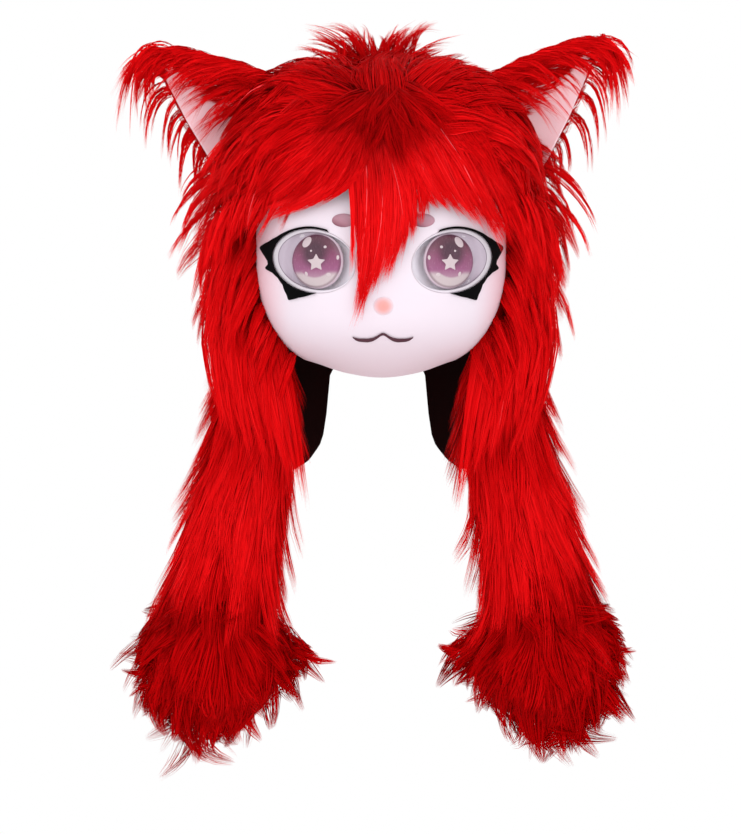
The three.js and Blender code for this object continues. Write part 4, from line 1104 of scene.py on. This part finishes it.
def fringe():
    strands = Strands()
    number = FRINGE_COUNT["lock"]
    for root, bend, tip, width, shade in FRINGE:
        begin = CAP.on_front(root[0] * 1.3 + rng.normal(0, 5), root[1] + 10 + rng.uniform(-10, 22), 0.0)
        middle = CAP.on_front(*bend, 8.0)
        end = FRINGE_BED.on_front(np.clip(tip[0], -160, 160), tip[1], 2.0)
        end[0] = tip[0]
        outward = np.array([middle[0] / CAP.half_width, -1, 0.2])
        shade = shade - 0.08
        lock(strands, begin, middle, end, width, outward, number, shade, depth=0.26, thick=0.92, loose=1.5)
    # short locks that cover the parting
    number = FRINGE_COUNT["parting"]
    for angle in np.radians(np.linspace(196, 344, 17)):
        ahead = np.array([math.cos(angle), math.sin(angle)])
        spring = np.array([6.0, 22.0]) + ahead * rng.uniform(-8, 14) + rng.normal(0, 5, 2)
        reach = rng.uniform(56, 84)
        begin = CAP.on_front(*spring, -4.0)
        middle = CAP.on_front(*(spring + ahead * reach * 0.5), 14.0)
        end = CAP.on_front(*(spring + ahead * reach + [0, -10]), 7.0)
        outward = np.array([0.3 * ahead[0], -1, 0.4])
        lock(strands, begin, middle, end, 32, outward, number, 0.3, depth=0.3, loose=1.6)
    strands.stand_for("fringe", "fringe_fur")


# Side hair

HANGING = [
    # root, bend and tip of the hair that hangs beside the jaw (x, y, z), width and shade
    ((-141, -8, -206), (-112, -16, -292), (-90, -26, -442), 28, 0.56),
    ((-146, -6, -216), (-122, -18, -300), (-96, -30, -430), 34, 0.6),
    ((-150, -4, -224), (-134, -20, -310), (-108, -30, -420), 38, 0.62),
    ((-158, -4, -230), (-150, -20, -310), (-126, -28, -410), 40, 0.62),
    ((-168, -2, -230), (-168, -18, -304), (-146, -24, -400), 42, 0.58),
    ((-176, 0, -226), (-180, -14, -296), (-164, -18, -388), 42, 0.56),
    ((-182, 4, -220), (-188, -8, -288), (-176, -12, -372), 40, 0.54),
    ((-152, -6, -232), (-142, -24, -290), (-130, -30, -366), 38, 0.56),
    ((-170, -4, -226), (-172, -22, -280), (-160, -24, -346), 40, 0.56),
]


def face_edge(height, out):
    """A point on the edge of the fur beside the face, moved outwards and back from it."""
    rise = max(height - HEAD.centre_z, 0) / FACE_OPENING["top"]
    top = FACE_OPENING["half_width"] * (1 - min(rise, 0.98) ** ROUND) ** (1 / ROUND)
    tall = HEAD.up if height > HEAD.centre_z else HEAD.down
    sill = HEAD.half_width * (1 - (abs(height - HEAD.centre_z) / tall) ** ROUND) ** (1 / ROUND)
    x = min(top, sill * 0.99)
    y = float(HEAD.on_front(x, height)[1])
    return np.array([x + out, min(y, -18) + 3 + 0.8 * out, height])


def side_fur(strands, side):
    """Spiky fur on the side of the cap that stands off downwards and outwards."""
    points, faces = cap_coat()
    middle = points[faces].mean(1)
    beside = (middle[:, 0] * side > 108) & (middle[:, 1] < 120) & (middle[:, 2] < 0)
    roots, _ = scattered(points, faces[beside], SIDE_COUNT["coat"])
    roots = roots[(opening(roots) > 4) & ((roots[:, 1] > -34) | (np.abs(roots[:, 0]) > 150))]
    number = len(roots)
    nearest = leaders(roots, 40)
    own = rng.normal(0, 1, (number, 3))[nearest]
    steps = np.linspace(0, 1, 5)
    stand = np.interp(roots[:, 2], [-240, -150, -70, 0], [30, 38, 50, 46])
    stand = stand * np.clip(1 + 0.3 * own[:, 0], 0.4, 1.7) * smooth(96, 170, np.abs(roots[:, 0]))
    drop = rng.uniform(56, 84, number) * np.clip(1 + 0.2 * own[:, 1], 0.6, 1.4)
    paths = roots[:, None] + np.zeros((number, 5, 3))
    paths[..., 2] -= drop[:, None] * (0.55 * steps + 0.45 * steps**2)
    paths[..., 0] += side * (stand[:, None] * (1.5 * steps - 0.5 * steps**2) - 4)
    paths[..., 1] += (own[:, 2] * 5 - 4)[:, None] * steps
    paths = gathered(paths, nearest, 0.72)
    outward = unit(CAP.normal(roots) + np.array([0, -0.5, 0.2]))
    shade = 0.5 + rng.normal(0, 0.09, number) + 0.08 * own[:, 0]
    strands.add(paths, rng.uniform(0.7, 1.2, number), outward, shade)


WISPS = [
    # root and tip of the long wisps that stand off below the ears (x, y, z)
    ((-184, 2, -60), (-232, -6, -104)), ((-188, 0, -70), (-246, -4, -136)),
    ((-190, 4, -84), (-226, -6, -150)), ((-190, 10, -100), (-236, 2, -168)),
    ((-186, -4, -122), (-210, -10, -196)), ((-188, 8, -150), (-210, 0, -222)),
]


def side_hair(name, side):
    strands = Strands()
    side_fur(strands, side)
    mirror = np.array([side, 1, 1])
    for layer, out in enumerate((4, 15, 28)):
        for height in np.linspace(-74, -276, 17):
            height = height + rng.uniform(-7, 7)
            root = face_edge(height, out + 8 * float(smooth(-160, -110, height)))
            reach = rng.uniform(0.85, 1.15)
            lean = np.interp(height, [-262, -74], [0.5, 1.0])
            bend = root + np.array([24 * lean, -15, -20]) * reach
            tip = root + np.array([38 * lean, -4, -80]) * reach
            outward = np.array([side * 0.3, -1, 0.3])
            turned = (v * mirror for v in (root, bend, tip))
            # painted shade: the layers further out are a little lighter than the ones beneath
            number, shade = SIDE_COUNT["layered"], 0.5 + 0.04 * layer
            lock(strands, *turned, 30, outward, number, shade, steps=5, depth=0.3, loose=1.6)
    for root, tip in WISPS:
        root, tip = np.array(root, float), np.array(tip, float) + rng.normal(0, 5, 3)
        bend = (root + tip) / 2 + np.array([-14.0, -2.0, 8.0])
        outward = np.array([side * 0.3, -1.0, 0.2])
        turned = (v * [-side, 1, 1] for v in (root, bend, tip))
        width, number = rng.uniform(12, 20), SIDE_COUNT["wisp"]
        lock(strands, *turned, width, outward, number, 0.52, depth=0.3, thick=0.7, loose=1.8)
    for *spots, width, shade in HANGING:
        turned = (np.array(v) * [-side, 1, 1] for v in spots)
        outward = np.array([side * 0.2, -1.0, 0.0])
        lock(strands, *turned, width, outward, SIDE_COUNT["hanging"], shade, thick=0.92)
    strands.stand_for("side_hair_" + name, "side_hair_fur_" + name)


# Tuft on the crown

TUFT = [
    # tip in the front view and its depth (x, y, z), bend as a share of it, width
    ((-88, 8, 84), 0.56, 20), ((-74, 20, 90), 0.52, 18), ((-58, -10, 92), 0.46, 20),
    ((-44, 12, 88), 0.4, 18), ((-29, 8, 90), 0.4, 20), ((-14, -12, 80), 0.3, 16), ((2, -16, 76), 0.3, 16),
    ((14, 10, 84), 0.4, 18), ((26, 0, 90), 0.4, 20), ((36, -8, 94), 0.42, 18), ((50, 16, 90), 0.46, 18),
    ((64, 8, 94), 0.5, 20), ((-96, -4, 68), 0.6, 18), ((78, -6, 74), 0.6, 18), ((-50, 34, 76), 0.5, 18),
    ((46, 34, 76), 0.5, 18),
]


def tuft():
    strands = Strands()
    top = CAP.centre_z + CAP.up
    for tip, share, width in TUFT:
        tip = np.array(tip, float)
        root = np.array([tip[0] * 0.16, tip[1] * 0.5 - 14, top - 22])
        bend = np.array([tip[0] * share, tip[1] * 0.6, top + (tip[2] - top) * 0.8])
        outward = np.array([tip[0] * 0.004, -1.0, 0.4])
        for _ in range(3):
            reach = tip + rng.normal(0, 6, 3)
            turned = bend + rng.normal(0, 6, 3) + np.array([0, 0, 3.0])
            begin = root + rng.normal(0, 8, 3) * [1.6, 1, 0]
            line, narrow = (begin, turned, reach), 0.55 * width
            lock(strands, *line, narrow, outward, TUFT_COUNT, 0.44, depth=0.5, thick=0.5, loose=3.2)
    strands.stand_for("crown_tuft", "crown_tuft_fur")


# Lappets

LAPPET = dict(length=305, half_width=48, half_depth=26, centre_x=144, centre_y=36, swing=40, top=-262.3)
LAPPET_ROWS = np.array([
    # drop, swing and width as shares
    [-0.1, 0.02, 0.74], [0, 0, 0.72], [0.22, -0.06, 0.9], [0.46, 0.14, 1.06], [0.7, 0.56, 1.14],
    [1, 1, 1.3], [1.15, 1.1, 1.3],
])


def on_lappet(side, drop, angle, out=0.0):
    wide = LAPPET["half_width"] * np.interp(drop, LAPPET_ROWS[:, 0], LAPPET_ROWS[:, 2]) + out
    swing = LAPPET["swing"] * np.interp(drop, LAPPET_ROWS[:, 0], LAPPET_ROWS[:, 1])
    x = LAPPET["centre_x"] + swing + wide * signed_power(np.cos(angle), 2 / 2.6)
    deep = LAPPET["half_depth"] + out + 27 * smooth(0.82, 1.14, drop)
    y = LAPPET["centre_y"] + deep * signed_power(np.sin(angle), 2 / 2.6)
    return np.stack([side * x, y, LAPPET["top"] - drop * LAPPET["length"]], -1)


def lappet(name, side):
    strands = Strands()
    angle, drop = np.meshgrid(np.linspace(0, 2 * np.pi, 41), np.linspace(0, 1, 28))
    points = on_lappet(side, drop, angle, -5.0).reshape(-1, 3)
    outward = np.stack([side * np.cos(angle), np.sin(angle), 0 * angle], -1).reshape(-1, 3)
    strands.under(points, np.array(grid_faces(*angle.shape)), outward, 0.3)
    number = LAPPET_COUNT
    start = rng.uniform(-0.08, 0.98, number)
    turn = rng.uniform(0, 2 * np.pi, number)
    roots = on_lappet(side, start, turn, 0.0)
    nearest = leaders(roots, 42)
    own = rng.normal(0, 1, (number, 3))[nearest]
    length = rng.uniform(66, 104, number) * np.clip(1 + 0.15 * own[:, 0], 0.7, 1.3) / LAPPET["length"]
    steps = np.linspace(0, 1, 5)
    # the fur ends higher at the outer side, where the paw begins
    inward = 0.5 - 0.5 * np.cos(turn)
    start = np.minimum(start, 1.0 + 0.14 * inward + rng.uniform(-0.05, 0.05, number) - 0.7 * length)
    drops = start[:, None] + length[:, None] * steps[None]
    turns = turn[:, None] + (0.06 * own[:, 1] + rng.normal(0, 0.05, number))[:, None] * steps[None]
    stand = rng.uniform(4, 12, number) * np.clip(1 + 0.45 * own[:, 2], 0.3, 2.2)
    raised = -4 + stand[:, None] * steps[None] ** 1.3
    paths = on_lappet(side, drops, turns, raised)
    edge = np.cos(turn)
    flick = np.where(edge > 0, 1.0, 1.25) * np.abs(edge) ** 3 * np.clip(6 + 8 * own[:, 0], 0, 22)
    paths[:, :, 0] += side * (np.sign(edge) * flick)[:, None] * steps**2
    paths = gathered(paths, nearest, 0.66)
    facing = np.stack([side * np.cos(turn), np.sin(turn), 0 * turn], -1)
    middle = start + length * 0.5
    # painted shade in bands down the lappet
    band = np.interp(middle, [0, 0.18, 0.3, 0.44, 0.56, 1.1], [0.0, -0.1, 0.05, -0.09, 0.06, 0.02])
    shade = 0.6 + band + rng.normal(0, 0.055, number) + 0.035 * own[:, 1]
    # painted shade: darker towards the paw, along a line that comes down towards the middle
    below = paths[:, 2, 2] + 530 + 0.45 * (243 - np.abs(paths[:, 2, 0]))
    shade = shade - 0.42 * smooth(16, -18, below + 7 * own[:, 0])
    strands.add(paths, rng.uniform(0.65, 1.2, number), facing, shade)
    strands.stand_for("lappet_" + name, "lappet_fur_" + name)


# Paws

PAW = dict(half_width=76, half_depth=52, half_height=78, centre_x=188, centre_y=36, centre_z=-633.3)
PAW_SOURCE = np.array([185.0, -564.0])
PAW_LOWEST = -786
PAW_TIPS = np.array([
    # direction from the source in degrees (0 towards the middle, 90 up) and the longest reach
    (-26, 126), (-18, 96), (0, 52), (30, 30), (90, 20), (150, 44), (170, 66), (189, 84), (200, 104),
    (212, 130), (220, 138), (228, 158), (238, 180), (247, 178), (254, 200), (260, 214), (264, 192),
    (270, 196), (276, 186), (284, 162), (290, 154), (299, 144), (308, 136), (318, 142), (325, 150),
    (334, 132),
])


class Ball:
    """A round form whose middle stands off the frame's own axis."""

    def __init__(self, half_width, half_depth, half_height, centre_x, centre_y, centre_z):
        sizes = (half_width, half_depth, half_depth, half_height, half_height, centre_z)
        self.form = Form(*sizes, round_up=2.0, round_down=2.0, round_plan=2.0)
        self.shift = np.array([centre_x, centre_y, 0.0])

    def onto(self, points, out=0.0):
        return self.form.onto(points - self.shift, out) + self.shift

    def normal(self, points):
        return self.form.normal(points - self.shift)


def paw_coat(strands, side, number, low, high, inner=0.0):
    """Long fur that runs from the source over the paw and off its rim in pointed locks."""
    centre = np.array([PAW["centre_x"], PAW["centre_y"], PAW["centre_z"]])
    half = np.array([PAW["half_width"], PAW["half_depth"], PAW["half_height"]])
    below = rng.uniform(0, 1, number) < 0.86
    angle = np.where(below, rng.uniform(186, 334, number), rng.uniform(-26, 186, number))
    reach = np.interp(angle, *PAW_TIPS.T)
    begin = reach * np.clip(inner + (0.84 - inner) * rng.uniform(0, 1, number) ** 0.65, 0, 0.8)
    depth = rng.uniform(low, high, number)
    straight = np.radians(angle)
    spread = np.stack([begin * np.cos(straight), depth * 40, begin * np.sin(straight)], -1)
    nearest = leaders(spread, 26)
    own = rng.normal(0, 1, (number, 3))[nearest]
    limit = reach * np.clip(0.88 + 0.09 * own[:, 0], 0.7, 1.06) * rng.uniform(0.84, 1.02, number)
    long = rng.uniform(66, 100, number)[nearest] * rng.uniform(0.8, 1.05, number)
    end = np.minimum(begin + long, np.maximum(limit, begin + 16))
    steps = np.linspace(0, 1, 5)[None]
    along = begin[:, None] + (end - begin)[:, None] * steps
    turned = straight[:, None] + (0.09 * own[:, 1])[:, None] * steps**2
    x = PAW_SOURCE[0] - along * np.cos(turned)
    z = PAW_SOURCE[1] + along * np.sin(turned)
    droop = 12 * (np.cos(turned) ** 2) * steps**2 * np.clip(along / 90, 0, 1)
    z = np.maximum(z - droop, PAW_LOWEST)
    past = ((x - centre[0]) / half[0]) ** 2 + ((z - centre[2]) / half[2]) ** 2
    round_share = np.sqrt(np.clip(1 - past, 0.05, 1))
    lifted = 1 + (0.05 + 0.1 * np.clip(own[:, 2], -0.4, 1.6))[:, None] * steps
    y = centre[1] + depth[:, None] * half[1] * round_share * lifted
    paths = gathered(np.stack([side * x, y, z], -1), nearest, 0.84)
    outward = unit((paths[:, 2] - centre * [side, 1, 1]) / half**2)
    # painted shade: darker near the source, lighter towards the rim
    shade = 0.53 + 0.12 * np.clip(begin / reach, 0, 1) + rng.normal(0, 0.06, number) + 0.05 * own[:, 1]
    strands.add(paths, rng.uniform(0.9, 1.4, number), outward, shade)


def paw(name, side):
    strands = Strands()
    palm = Ball(**dict(PAW, centre_x=side * PAW["centre_x"]))
    points, faces = rounded_ball(palm.form, -3.0, 36, 20)
    quads = np.array([face for face in faces if len(face) == 4])
    points = points + palm.shift
    strands.under(points, quads, palm.normal(points), 0.3)
    paw_coat(strands, side, PAW_COUNT["front"], -1.05, -0.8)
    paw_coat(strands, side, PAW_COUNT["front_side"], -0.8, 0.1, inner=0.35)
    paw_coat(strands, side, PAW_COUNT["rear_side"], 0.1, 0.8, inner=0.4)
    paw_coat(strands, side, PAW_COUNT["rear"], 0.8, 1.05)
    roots, _ = scattered(points, quads, PAW_COUNT["rim"])
    roots = roots[(np.abs(roots[:, 1] - PAW["centre_y"]) < 36) & (roots[:, 2] < PAW["centre_z"] + 60)]
    source = np.array([side * PAW_SOURCE[0], PAW["centre_y"], PAW_SOURCE[1] + 10])

    def flow(spots):
        return unit(spots - source) + np.array([0, 0, -0.45])

    coat(strands, palm, roots, flow, 36, 22, 0.5, steps=5, size=30, pull=0.82, wild=0.1)
    made = strands.mesh("paw_fur_" + name, MATERIALS["paw_fur"])
    return place(made, "paw_" + name)


# Ears

# millimetres, and the angles up the cap, in degrees, where the ear's two sides are rooted
EAR = dict(wall=10, bowl=30, medial=61, lateral=10.4, front_y=-12, rear_y=22, sink=6)
# name, side, how far the tip stands out from the cap and above it, and its locks and wisps
EARS = (("left", -1, 80, 17, 40, 15), ("right", 1, 71.2, 28.9, 26, 9))
EAR_FULL = 9
EAR_ALONG = np.array([[-0.1, 0], [0.25, 0.8], [0.5, 1], [0.75, 0.75], [0.93, 0.3], [1, 0]])


def ear_point(ear, along, across, back=0.0):
    """A point of the ear's middle sheet; across runs from the outer edge to the inner one."""
    _, side, reach, above, _, _ = ear
    along, across = np.broadcast_arrays(np.asarray(along, float), np.asarray(across, float))
    ends = (np.array(math.radians(EAR[end])) for end in ("medial", "lateral"))
    medial, lateral = (CAP.point(np.array(np.pi / 2), end, -EAR["sink"]) for end in ends)
    tip = np.array([CAP.half_width + reach, 0, CAP.centre_z + CAP.up + above])
    full = np.interp(along, EAR_ALONG[:, 0], EAR_ALONG[:, 1])[..., None] * EAR_FULL
    upper = medial + (tip - medial) * along[..., None]
    lower = lateral + (tip - lateral) * along[..., None]
    edge = unit(upper - lower + 1e-6)
    upper, lower = upper + edge * full, lower - edge * full
    share = (across + 1) / 2
    point = lower + (upper - lower) * share[..., None]
    left = 1 - np.clip(along, 0, 1)
    y = EAR["rear_y"] + (EAR["front_y"] - EAR["rear_y"]) * share
    y = y + EAR["bowl"] * left * (1 - across**2) + back
    return np.stack([side * point[..., 0], y, point[..., 2]], -1)


def ear_lining(ear):
    name = ear[0]
    along, across = np.meshgrid(np.linspace(-0.04, 0.88, 36), np.linspace(-0.97, 0.46, 28))
    front = ear_point(ear, along, across, -EAR["wall"] / 2 - 2.3)
    ripple = 0.5 * np.sin(along * 34 + across * 5) * (1 - across**2)
    front[..., 1] += ripple
    points, faces = closed_sheet(front, front + np.array([0, 2.0, 0]))
    made = piece("ear_plush_" + name, points, faces, [MATERIALS["ear_lining"]])
    fix_normals(made)
    return place(made, "ear_lining_" + name)


def ear_coat(strands, ear, number, face):
    """Fur over the back of an ear, or over its front beside the inner edge."""
    along = rng.uniform(-0.1, 0.92, number)
    if face > 0:
        across, least, most = rng.uniform(-1, 1, number), 0.0, 0.5
    else:
        across, least, most = 1 - 0.9 * rng.uniform(0, 1, number) ** 1.7, 0.1, 0.4
    sweep, reach = rng.uniform(0.1, 0.34, number), -rng.uniform(least, most, number)
    steps = np.linspace(0, 1, 5)
    a = np.clip(along[:, None] + sweep[:, None] * steps, -0.1, 1.04)
    b = across[:, None] + reach[:, None] * steps**1.2
    depth = face * (EAR["wall"] / 2 + 1 + rng.uniform(1, 7, number)[:, None] * steps**1.3)
    paths = ear_point(ear, a, np.clip(b, -1.15, 1.05), depth)
    paths[..., 2] -= rng.uniform(0, 9, number)[:, None] * steps**2
    nearest = leaders(paths[:, 0], 22)
    paths = gathered(paths, nearest, 0.6)
    shade = 0.48 + rng.normal(0, 0.09, number) + rng.normal(0, 0.08, number)[nearest]
    outward = np.repeat(np.array([[0.0, float(face), 0.2]]), number, 0)
    strands.add(paths, rng.uniform(0.7, 1.2, number), outward, shade)


def ear_bed(strands, ear):
    """The sheets under an ear's fur: its front, its rear and its outer edge."""
    length, half = np.linspace(-0.1, 0.99, 20), EAR["wall"] / 2
    side = ear[1]
    parts = (
        (np.linspace(-0.92, 0.96, 14), 1.5 - half, (0.0, -1.0, 0.0)),
        (np.linspace(-0.97, 0.96, 14), half - 1.5, (0.0, 1.0, 0.0)),
        (-0.985, np.linspace(-half - 2, half - 1.5, 3), (side * 0.8, 0.0, -0.6)),
    )
    for across, depth, normal in parts:
        across, depth = np.broadcast_arrays(across, depth)
        rows = np.ones((1, len(length)))
        along = length[None] * np.ones((len(across), 1))
        points = ear_point(ear, along, across[:, None] * rows, depth[:, None] * rows).reshape(-1, 3)
        normals = np.repeat(np.array([normal]), len(points), 0)
        strands.under(points, np.array(grid_faces(*along.shape)), normals, 0.36)


def ear_fur(ear):
    """An ear's fur, with locks that sweep over its lining and wisps that droop beyond its edge."""
    name, side, _, _, sweeps, wisps = ear
    strands = Strands()
    ear_bed(strands, ear)
    ear_coat(strands, ear, EAR_COUNT["rear"], 1)
    ear_coat(strands, ear, EAR_COUNT["front"], -1)
    facing = np.array([side * 0.1, -1.0, 0.3])
    for along in np.linspace(-0.02, 0.9, sweeps):
        along = along + rng.uniform(-0.04, 0.04)
        root = ear_point(ear, along, 0.5 + rng.uniform(-0.25, 0.3), -7.0)
        out, down = rng.uniform(48, 88) * (1 - 0.35 * along), rng.uniform(10, 54)
        bend = root + np.array([side * out * rng.uniform(0.4, 0.6), -8.0, rng.uniform(8, 22)])
        tip = root + np.array([side * out, -8.0, -down])
        width = rng.uniform(4, 13)
        lock(strands, root, bend, tip, width, facing, int(2.4 * width), 0.5, depth=0.3, thick=0.6, loose=2.6)
    # a thin veil of long strands over the lining
    for along in np.linspace(-0.04, 0.84, 15):
        root = ear_point(ear, along, 0.72 + rng.uniform(-0.2, 0.2), -6.5)
        out, down = rng.uniform(60, 96) * (1 - 0.3 * along), rng.uniform(14, 50)
        bend = root + np.array([side * out * 0.5, -8.0, rng.uniform(6, 16)])
        tip = root + np.array([side * out, -8.0, -down])
        width, number = rng.uniform(14, 26), EAR_COUNT["veil"]
        lock(strands, root, bend, tip, width, facing, number, 0.5, depth=0.2, thick=0.55, loose=2.4)
    for along in np.linspace(0.0, 0.96, wisps):
        along = along + rng.uniform(-0.03, 0.03)
        root = ear_point(ear, along, -0.8, 3.0)
        out = 12 + 22 * along + rng.uniform(-6, 6)
        down = 40 + 22 * math.sin(along * 2.6) + rng.uniform(-16, 12)
        bend = root + np.array([side * out * 0.95, -2.0, 1.0])
        tip = root + np.array([side * out, -4.0, -down])
        width = rng.uniform(10, 22)
        lock(strands, root, bend, tip, width, facing, int(3.6 * width), 0.46, depth=0.3, thick=0.8, loose=1.8)
    # locks that hang from the tip
    point = ear_point(ear, 1.0, 0.0)
    for k in range(14):
        across = -0.7 + 0.12 * k
        root = ear_point(ear, 0.76 + 0.015 * k, min(across, 0.8), -4.0)
        out, down = rng.uniform(2, 42), rng.uniform(36, 100)
        bend = point + np.array([side * (8 + 0.5 * out), -2.0, -3.0 + 4 * across])
        tip = point + np.array([side * out, -5.0, -down])
        width, number = rng.uniform(9, 17), EAR_COUNT["tip"]
        lock(strands, root, bend, tip, width, facing, number, 0.5, thick=0.7, loose=2.2)
    # locks along the top edge, towards the tip
    upward, number = np.array([0.0, -1.0, 0.5]), EAR_COUNT["edge"]
    for along in np.linspace(-0.06, 0.92, 26):
        root = ear_point(ear, along - 0.05, 0.8 + rng.uniform(-0.06, 0.06), rng.uniform(-5, 5))
        ahead = ear_point(ear, min(along + 0.3, 1.0), 0.8, -1.0)
        droop = float(smooth(0.6, 0.96, along))
        tip = ahead + np.array([side * 24 * droop, -3.0, -44 * droop])
        bend = (root + ahead) / 2 + np.array([side * 14 * droop, 0.0, 3.0])
        lock(strands, root, bend, tip, 24 - 9 * along, upward, number, 0.48, depth=0.3, thick=0.8, loose=0.4)
    strands.stand_for("ear_" + name, "ear_fur_" + name)


# Hood

HOOD = dict(half_width=128, depth=78, wall=2.5, length=153, nape=22, arch=86, top=-262.3, turn_y=62)
HOOD_EDGE = np.array([
    # distance from the middle in shares of the arch, and the hem's height as a share of the hood's
    [0, 0.82], [0.46, 0.81], [0.63, 0.75], [0.66, 0.52], [0.71, 0.29], [0.78, 0.18], [0.93, 0.065],
    [1.1, 0], [9, 0],
])


def hood_plan(out, count):
    """The hood's line in plan: straight forward stretches and half an oval round the back."""
    angle = np.pi * (1 - np.linspace(0, 1, count))
    wide, deep = HOOD["half_width"] + out, HOOD["depth"] + out
    oval = np.stack([wide * np.cos(angle), HOOD["turn_y"] + deep * np.sin(angle)], -1)
    left = np.stack([np.full(6, -wide), np.linspace(38, 60, 6)], -1)
    right = np.stack([np.full(6, wide), np.linspace(60, 38, 6)], -1)
    return np.concatenate([left, oval, right])


def hood_outward(plan):
    """Outward directions in plan along the hood's line."""
    return unit(np.stack([plan[:, 0], np.maximum(plan[:, 1] - HOOD["turn_y"], 0)], -1))


def hem_height(x):
    share = np.interp(np.abs(x) / HOOD["arch"], *HOOD_EDGE.T)
    return HOOD["top"] - HOOD["length"] + HOOD["length"] * share


def hood_lining():
    count, tall = 90, 20
    share = np.linspace(0, 1, tall)[:, None]
    low = hem_height(hood_plan(0.0, count)[:, 0])[None]
    z = low + (HOOD["top"] - low) * share
    layers = []
    for out in (0.0, HOOD["wall"]):
        plan = hood_plan(out, count)
        fold = 0.7 * np.sin(np.arange(len(plan)) * 0.56)[None] * (1 - share)
        fold = fold + 0.4 * np.sin(z * 0.11 + plan[None, :, 0] * 0.05)
        around = plan[None] + hood_outward(plan)[None] * fold[..., None]
        layers.append(np.concatenate([around, z[..., None]], -1))
    points, faces = closed_sheet(*layers)
    made = piece("hood_cloth", points, faces, [MATERIALS["hood_lining"]])
    fix_normals(made)
    return place(made, "hood_lining")


def nape_fur():
    strands = Strands()
    plan = hood_plan(HOOD["wall"] + HOOD["nape"] - 8, 60)
    low = hem_height(plan[:, 0] * 0.86) + 6
    share = np.linspace(0, 1, 12)[:, None]
    z = low[None] + (HOOD["top"] - low[None]) * share
    grid = np.stack([*(np.broadcast_to(line, z.shape) for line in plan.T), z], -1)
    points = grid.reshape(-1, 3)
    normals = np.insert(hood_outward(plan), 2, 0.0, axis=1)
    normals = np.broadcast_to(normals, grid.shape).reshape(-1, 3)
    faces = np.array(grid_faces(*z.shape))
    strands.under(points, faces, normals, 0.3)
    number = NAPE_COUNT
    roots, pick = scattered(points, faces, number)
    outward = normals[faces[pick][:, 0]]
    steps = np.linspace(0, 1, 5)
    hem = hem_height(roots[:, 0] * 0.86)
    arch = np.abs(roots[:, 0]) < 112
    room = np.where(arch, roots[:, 2] - hem - 1, 80)
    length = np.clip(rng.uniform(44, 70, number), 8, np.maximum(room, 8))
    nearest = leaders(roots, 30)
    raised = rng.uniform(2, 10, number) * np.clip(length / 40, 0.3, 1)
    down = np.array([0, 0, -1.0]) * (length[:, None, None] * steps[None, :, None])
    paths = roots[:, None] + down + outward[:, None] * (raised[:, None] * steps**1.2)[..., None]
    paths[..., 0] += np.sign(roots[:, 0])[:, None] * rng.uniform(0, 10, (number, 1)) * steps[None] ** 2
    paths = gathered(paths, nearest, 0.5)
    shade = 0.52 + rng.normal(0, 0.09, number) + rng.normal(0, 0.07, number)[nearest]
    strands.add(paths, rng.uniform(1.1, 1.6, number), outward, shade)
    strands.stand_for("nape_fur", "nape_fur_coat")


# Stage, lights and camera

FLOOR = dict(radius=3000.0, z=-900.0)
PHOTO = dict(width=741, height=834, mm_per_pixel=1.15, centre_x=380.5, crown_y=108)
CAMERA = dict(distance=25.0, azimuth=math.radians(-1.3))


def stage():
    turn = np.linspace(0, 2 * np.pi, 96, endpoint=False)
    x, y = FLOOR["radius"] * np.cos(turn), FLOOR["radius"] * np.sin(turn)
    points = np.stack([x, y, np.full(96, FLOOR["z"])], -1)
    made = Surface("pale_floor", Roughness=0.9, Specular_IOR_Level=0.1)
    grain = made.noise(60, detail=2.0)
    made.colour(made.tint(srgb(250, 250, 250), grain, 0.2, srgb(244, 244, 244)))
    piece("studio_floor", points, [tuple(range(96))], [made.material])


def area_light(name, at, aim, size, power):
    data = bpy.data.lights.new(name, "AREA")
    data.shape = "RECTANGLE"
    data.size, data.size_y = size
    data.energy = power
    made = bpy.data.objects.new(name, data)
    made.location = at
    made.rotation_euler = (Vector(aim) - Vector(at)).to_track_quat("-Z", "Y").to_euler()
    bpy.context.scene.collection.objects.link(made)


def lights():
    middle = (0, 0, -0.3)
    area_light("key", (-1.4, -3.0, 1.2), middle, (2.6, 2.2), 30)
    area_light("fill", (2.2, -2.8, 0.3), middle, (2.4, 2.4), 18)
    area_light("top", (0.0, -0.6, 2.4), middle, (2.4, 1.8), 8)
    area_light("rear_left", (-2.0, 1.6, 0.8), middle, (1.4, 2.0), 6)
    area_light("rear_right", (2.0, 1.6, 0.8), middle, (1.4, 2.0), 6)
    world = bpy.data.worlds.new("studio")
    world.use_nodes = True
    background = world.node_tree.nodes["Background"]
    background.inputs["Color"].default_value = (1, 1, 1, 1)
    background.inputs["Strength"].default_value = 1.0
    bpy.context.scene.world = world


def camera():
    scale = PHOTO["mm_per_pixel"] * MM
    aim_x = (PHOTO["width"] / 2 - PHOTO["centre_x"]) * scale
    aim_z = (PHOTO["crown_y"] - PHOTO["height"] / 2) * scale
    turn, far = CAMERA["azimuth"], CAMERA["distance"]
    data = bpy.data.cameras.new("photo_camera")
    data.sensor_width = 36
    data.lens = data.sensor_width * far / (PHOTO["height"] * scale)
    data.clip_end = 100
    made = bpy.data.objects.new("photo_camera", data)
    aim = Vector((aim_x * math.cos(turn), aim_x * math.sin(turn), aim_z))
    made.location = aim + Vector((math.sin(turn) * far, -math.cos(turn) * far, 0))
    made.rotation_euler = (math.pi / 2, 0, turn)
    bpy.context.scene.collection.objects.link(made)
    bpy.context.scene.camera = made
    bpy.context.scene.view_settings.view_transform = "Standard"


camera()
face_shell()
button("nose_button", "nose", "nose", 0, -228.5, 11.4, 10.6, 5.0, flat=2.0, steep=1.0)
mouth()
for name, side in SIDES:
    eye_bowl(name, side)
    iris(name, side)
    eyeline(name, side)
    button("brow_felt_" + name, "brow_spot_" + name, "brow", side * 45.4, -130.5, 13.5, 7.8, 2.2)
    side_hair(name, side)
    lappet(name, side)
    paw(name, side)
for ear in EARS:
    ear_lining(ear)
    ear_fur(ear)
hair_cap()
fringe()
tuft()
hood_lining()
nape_fur()
stage()
lights()
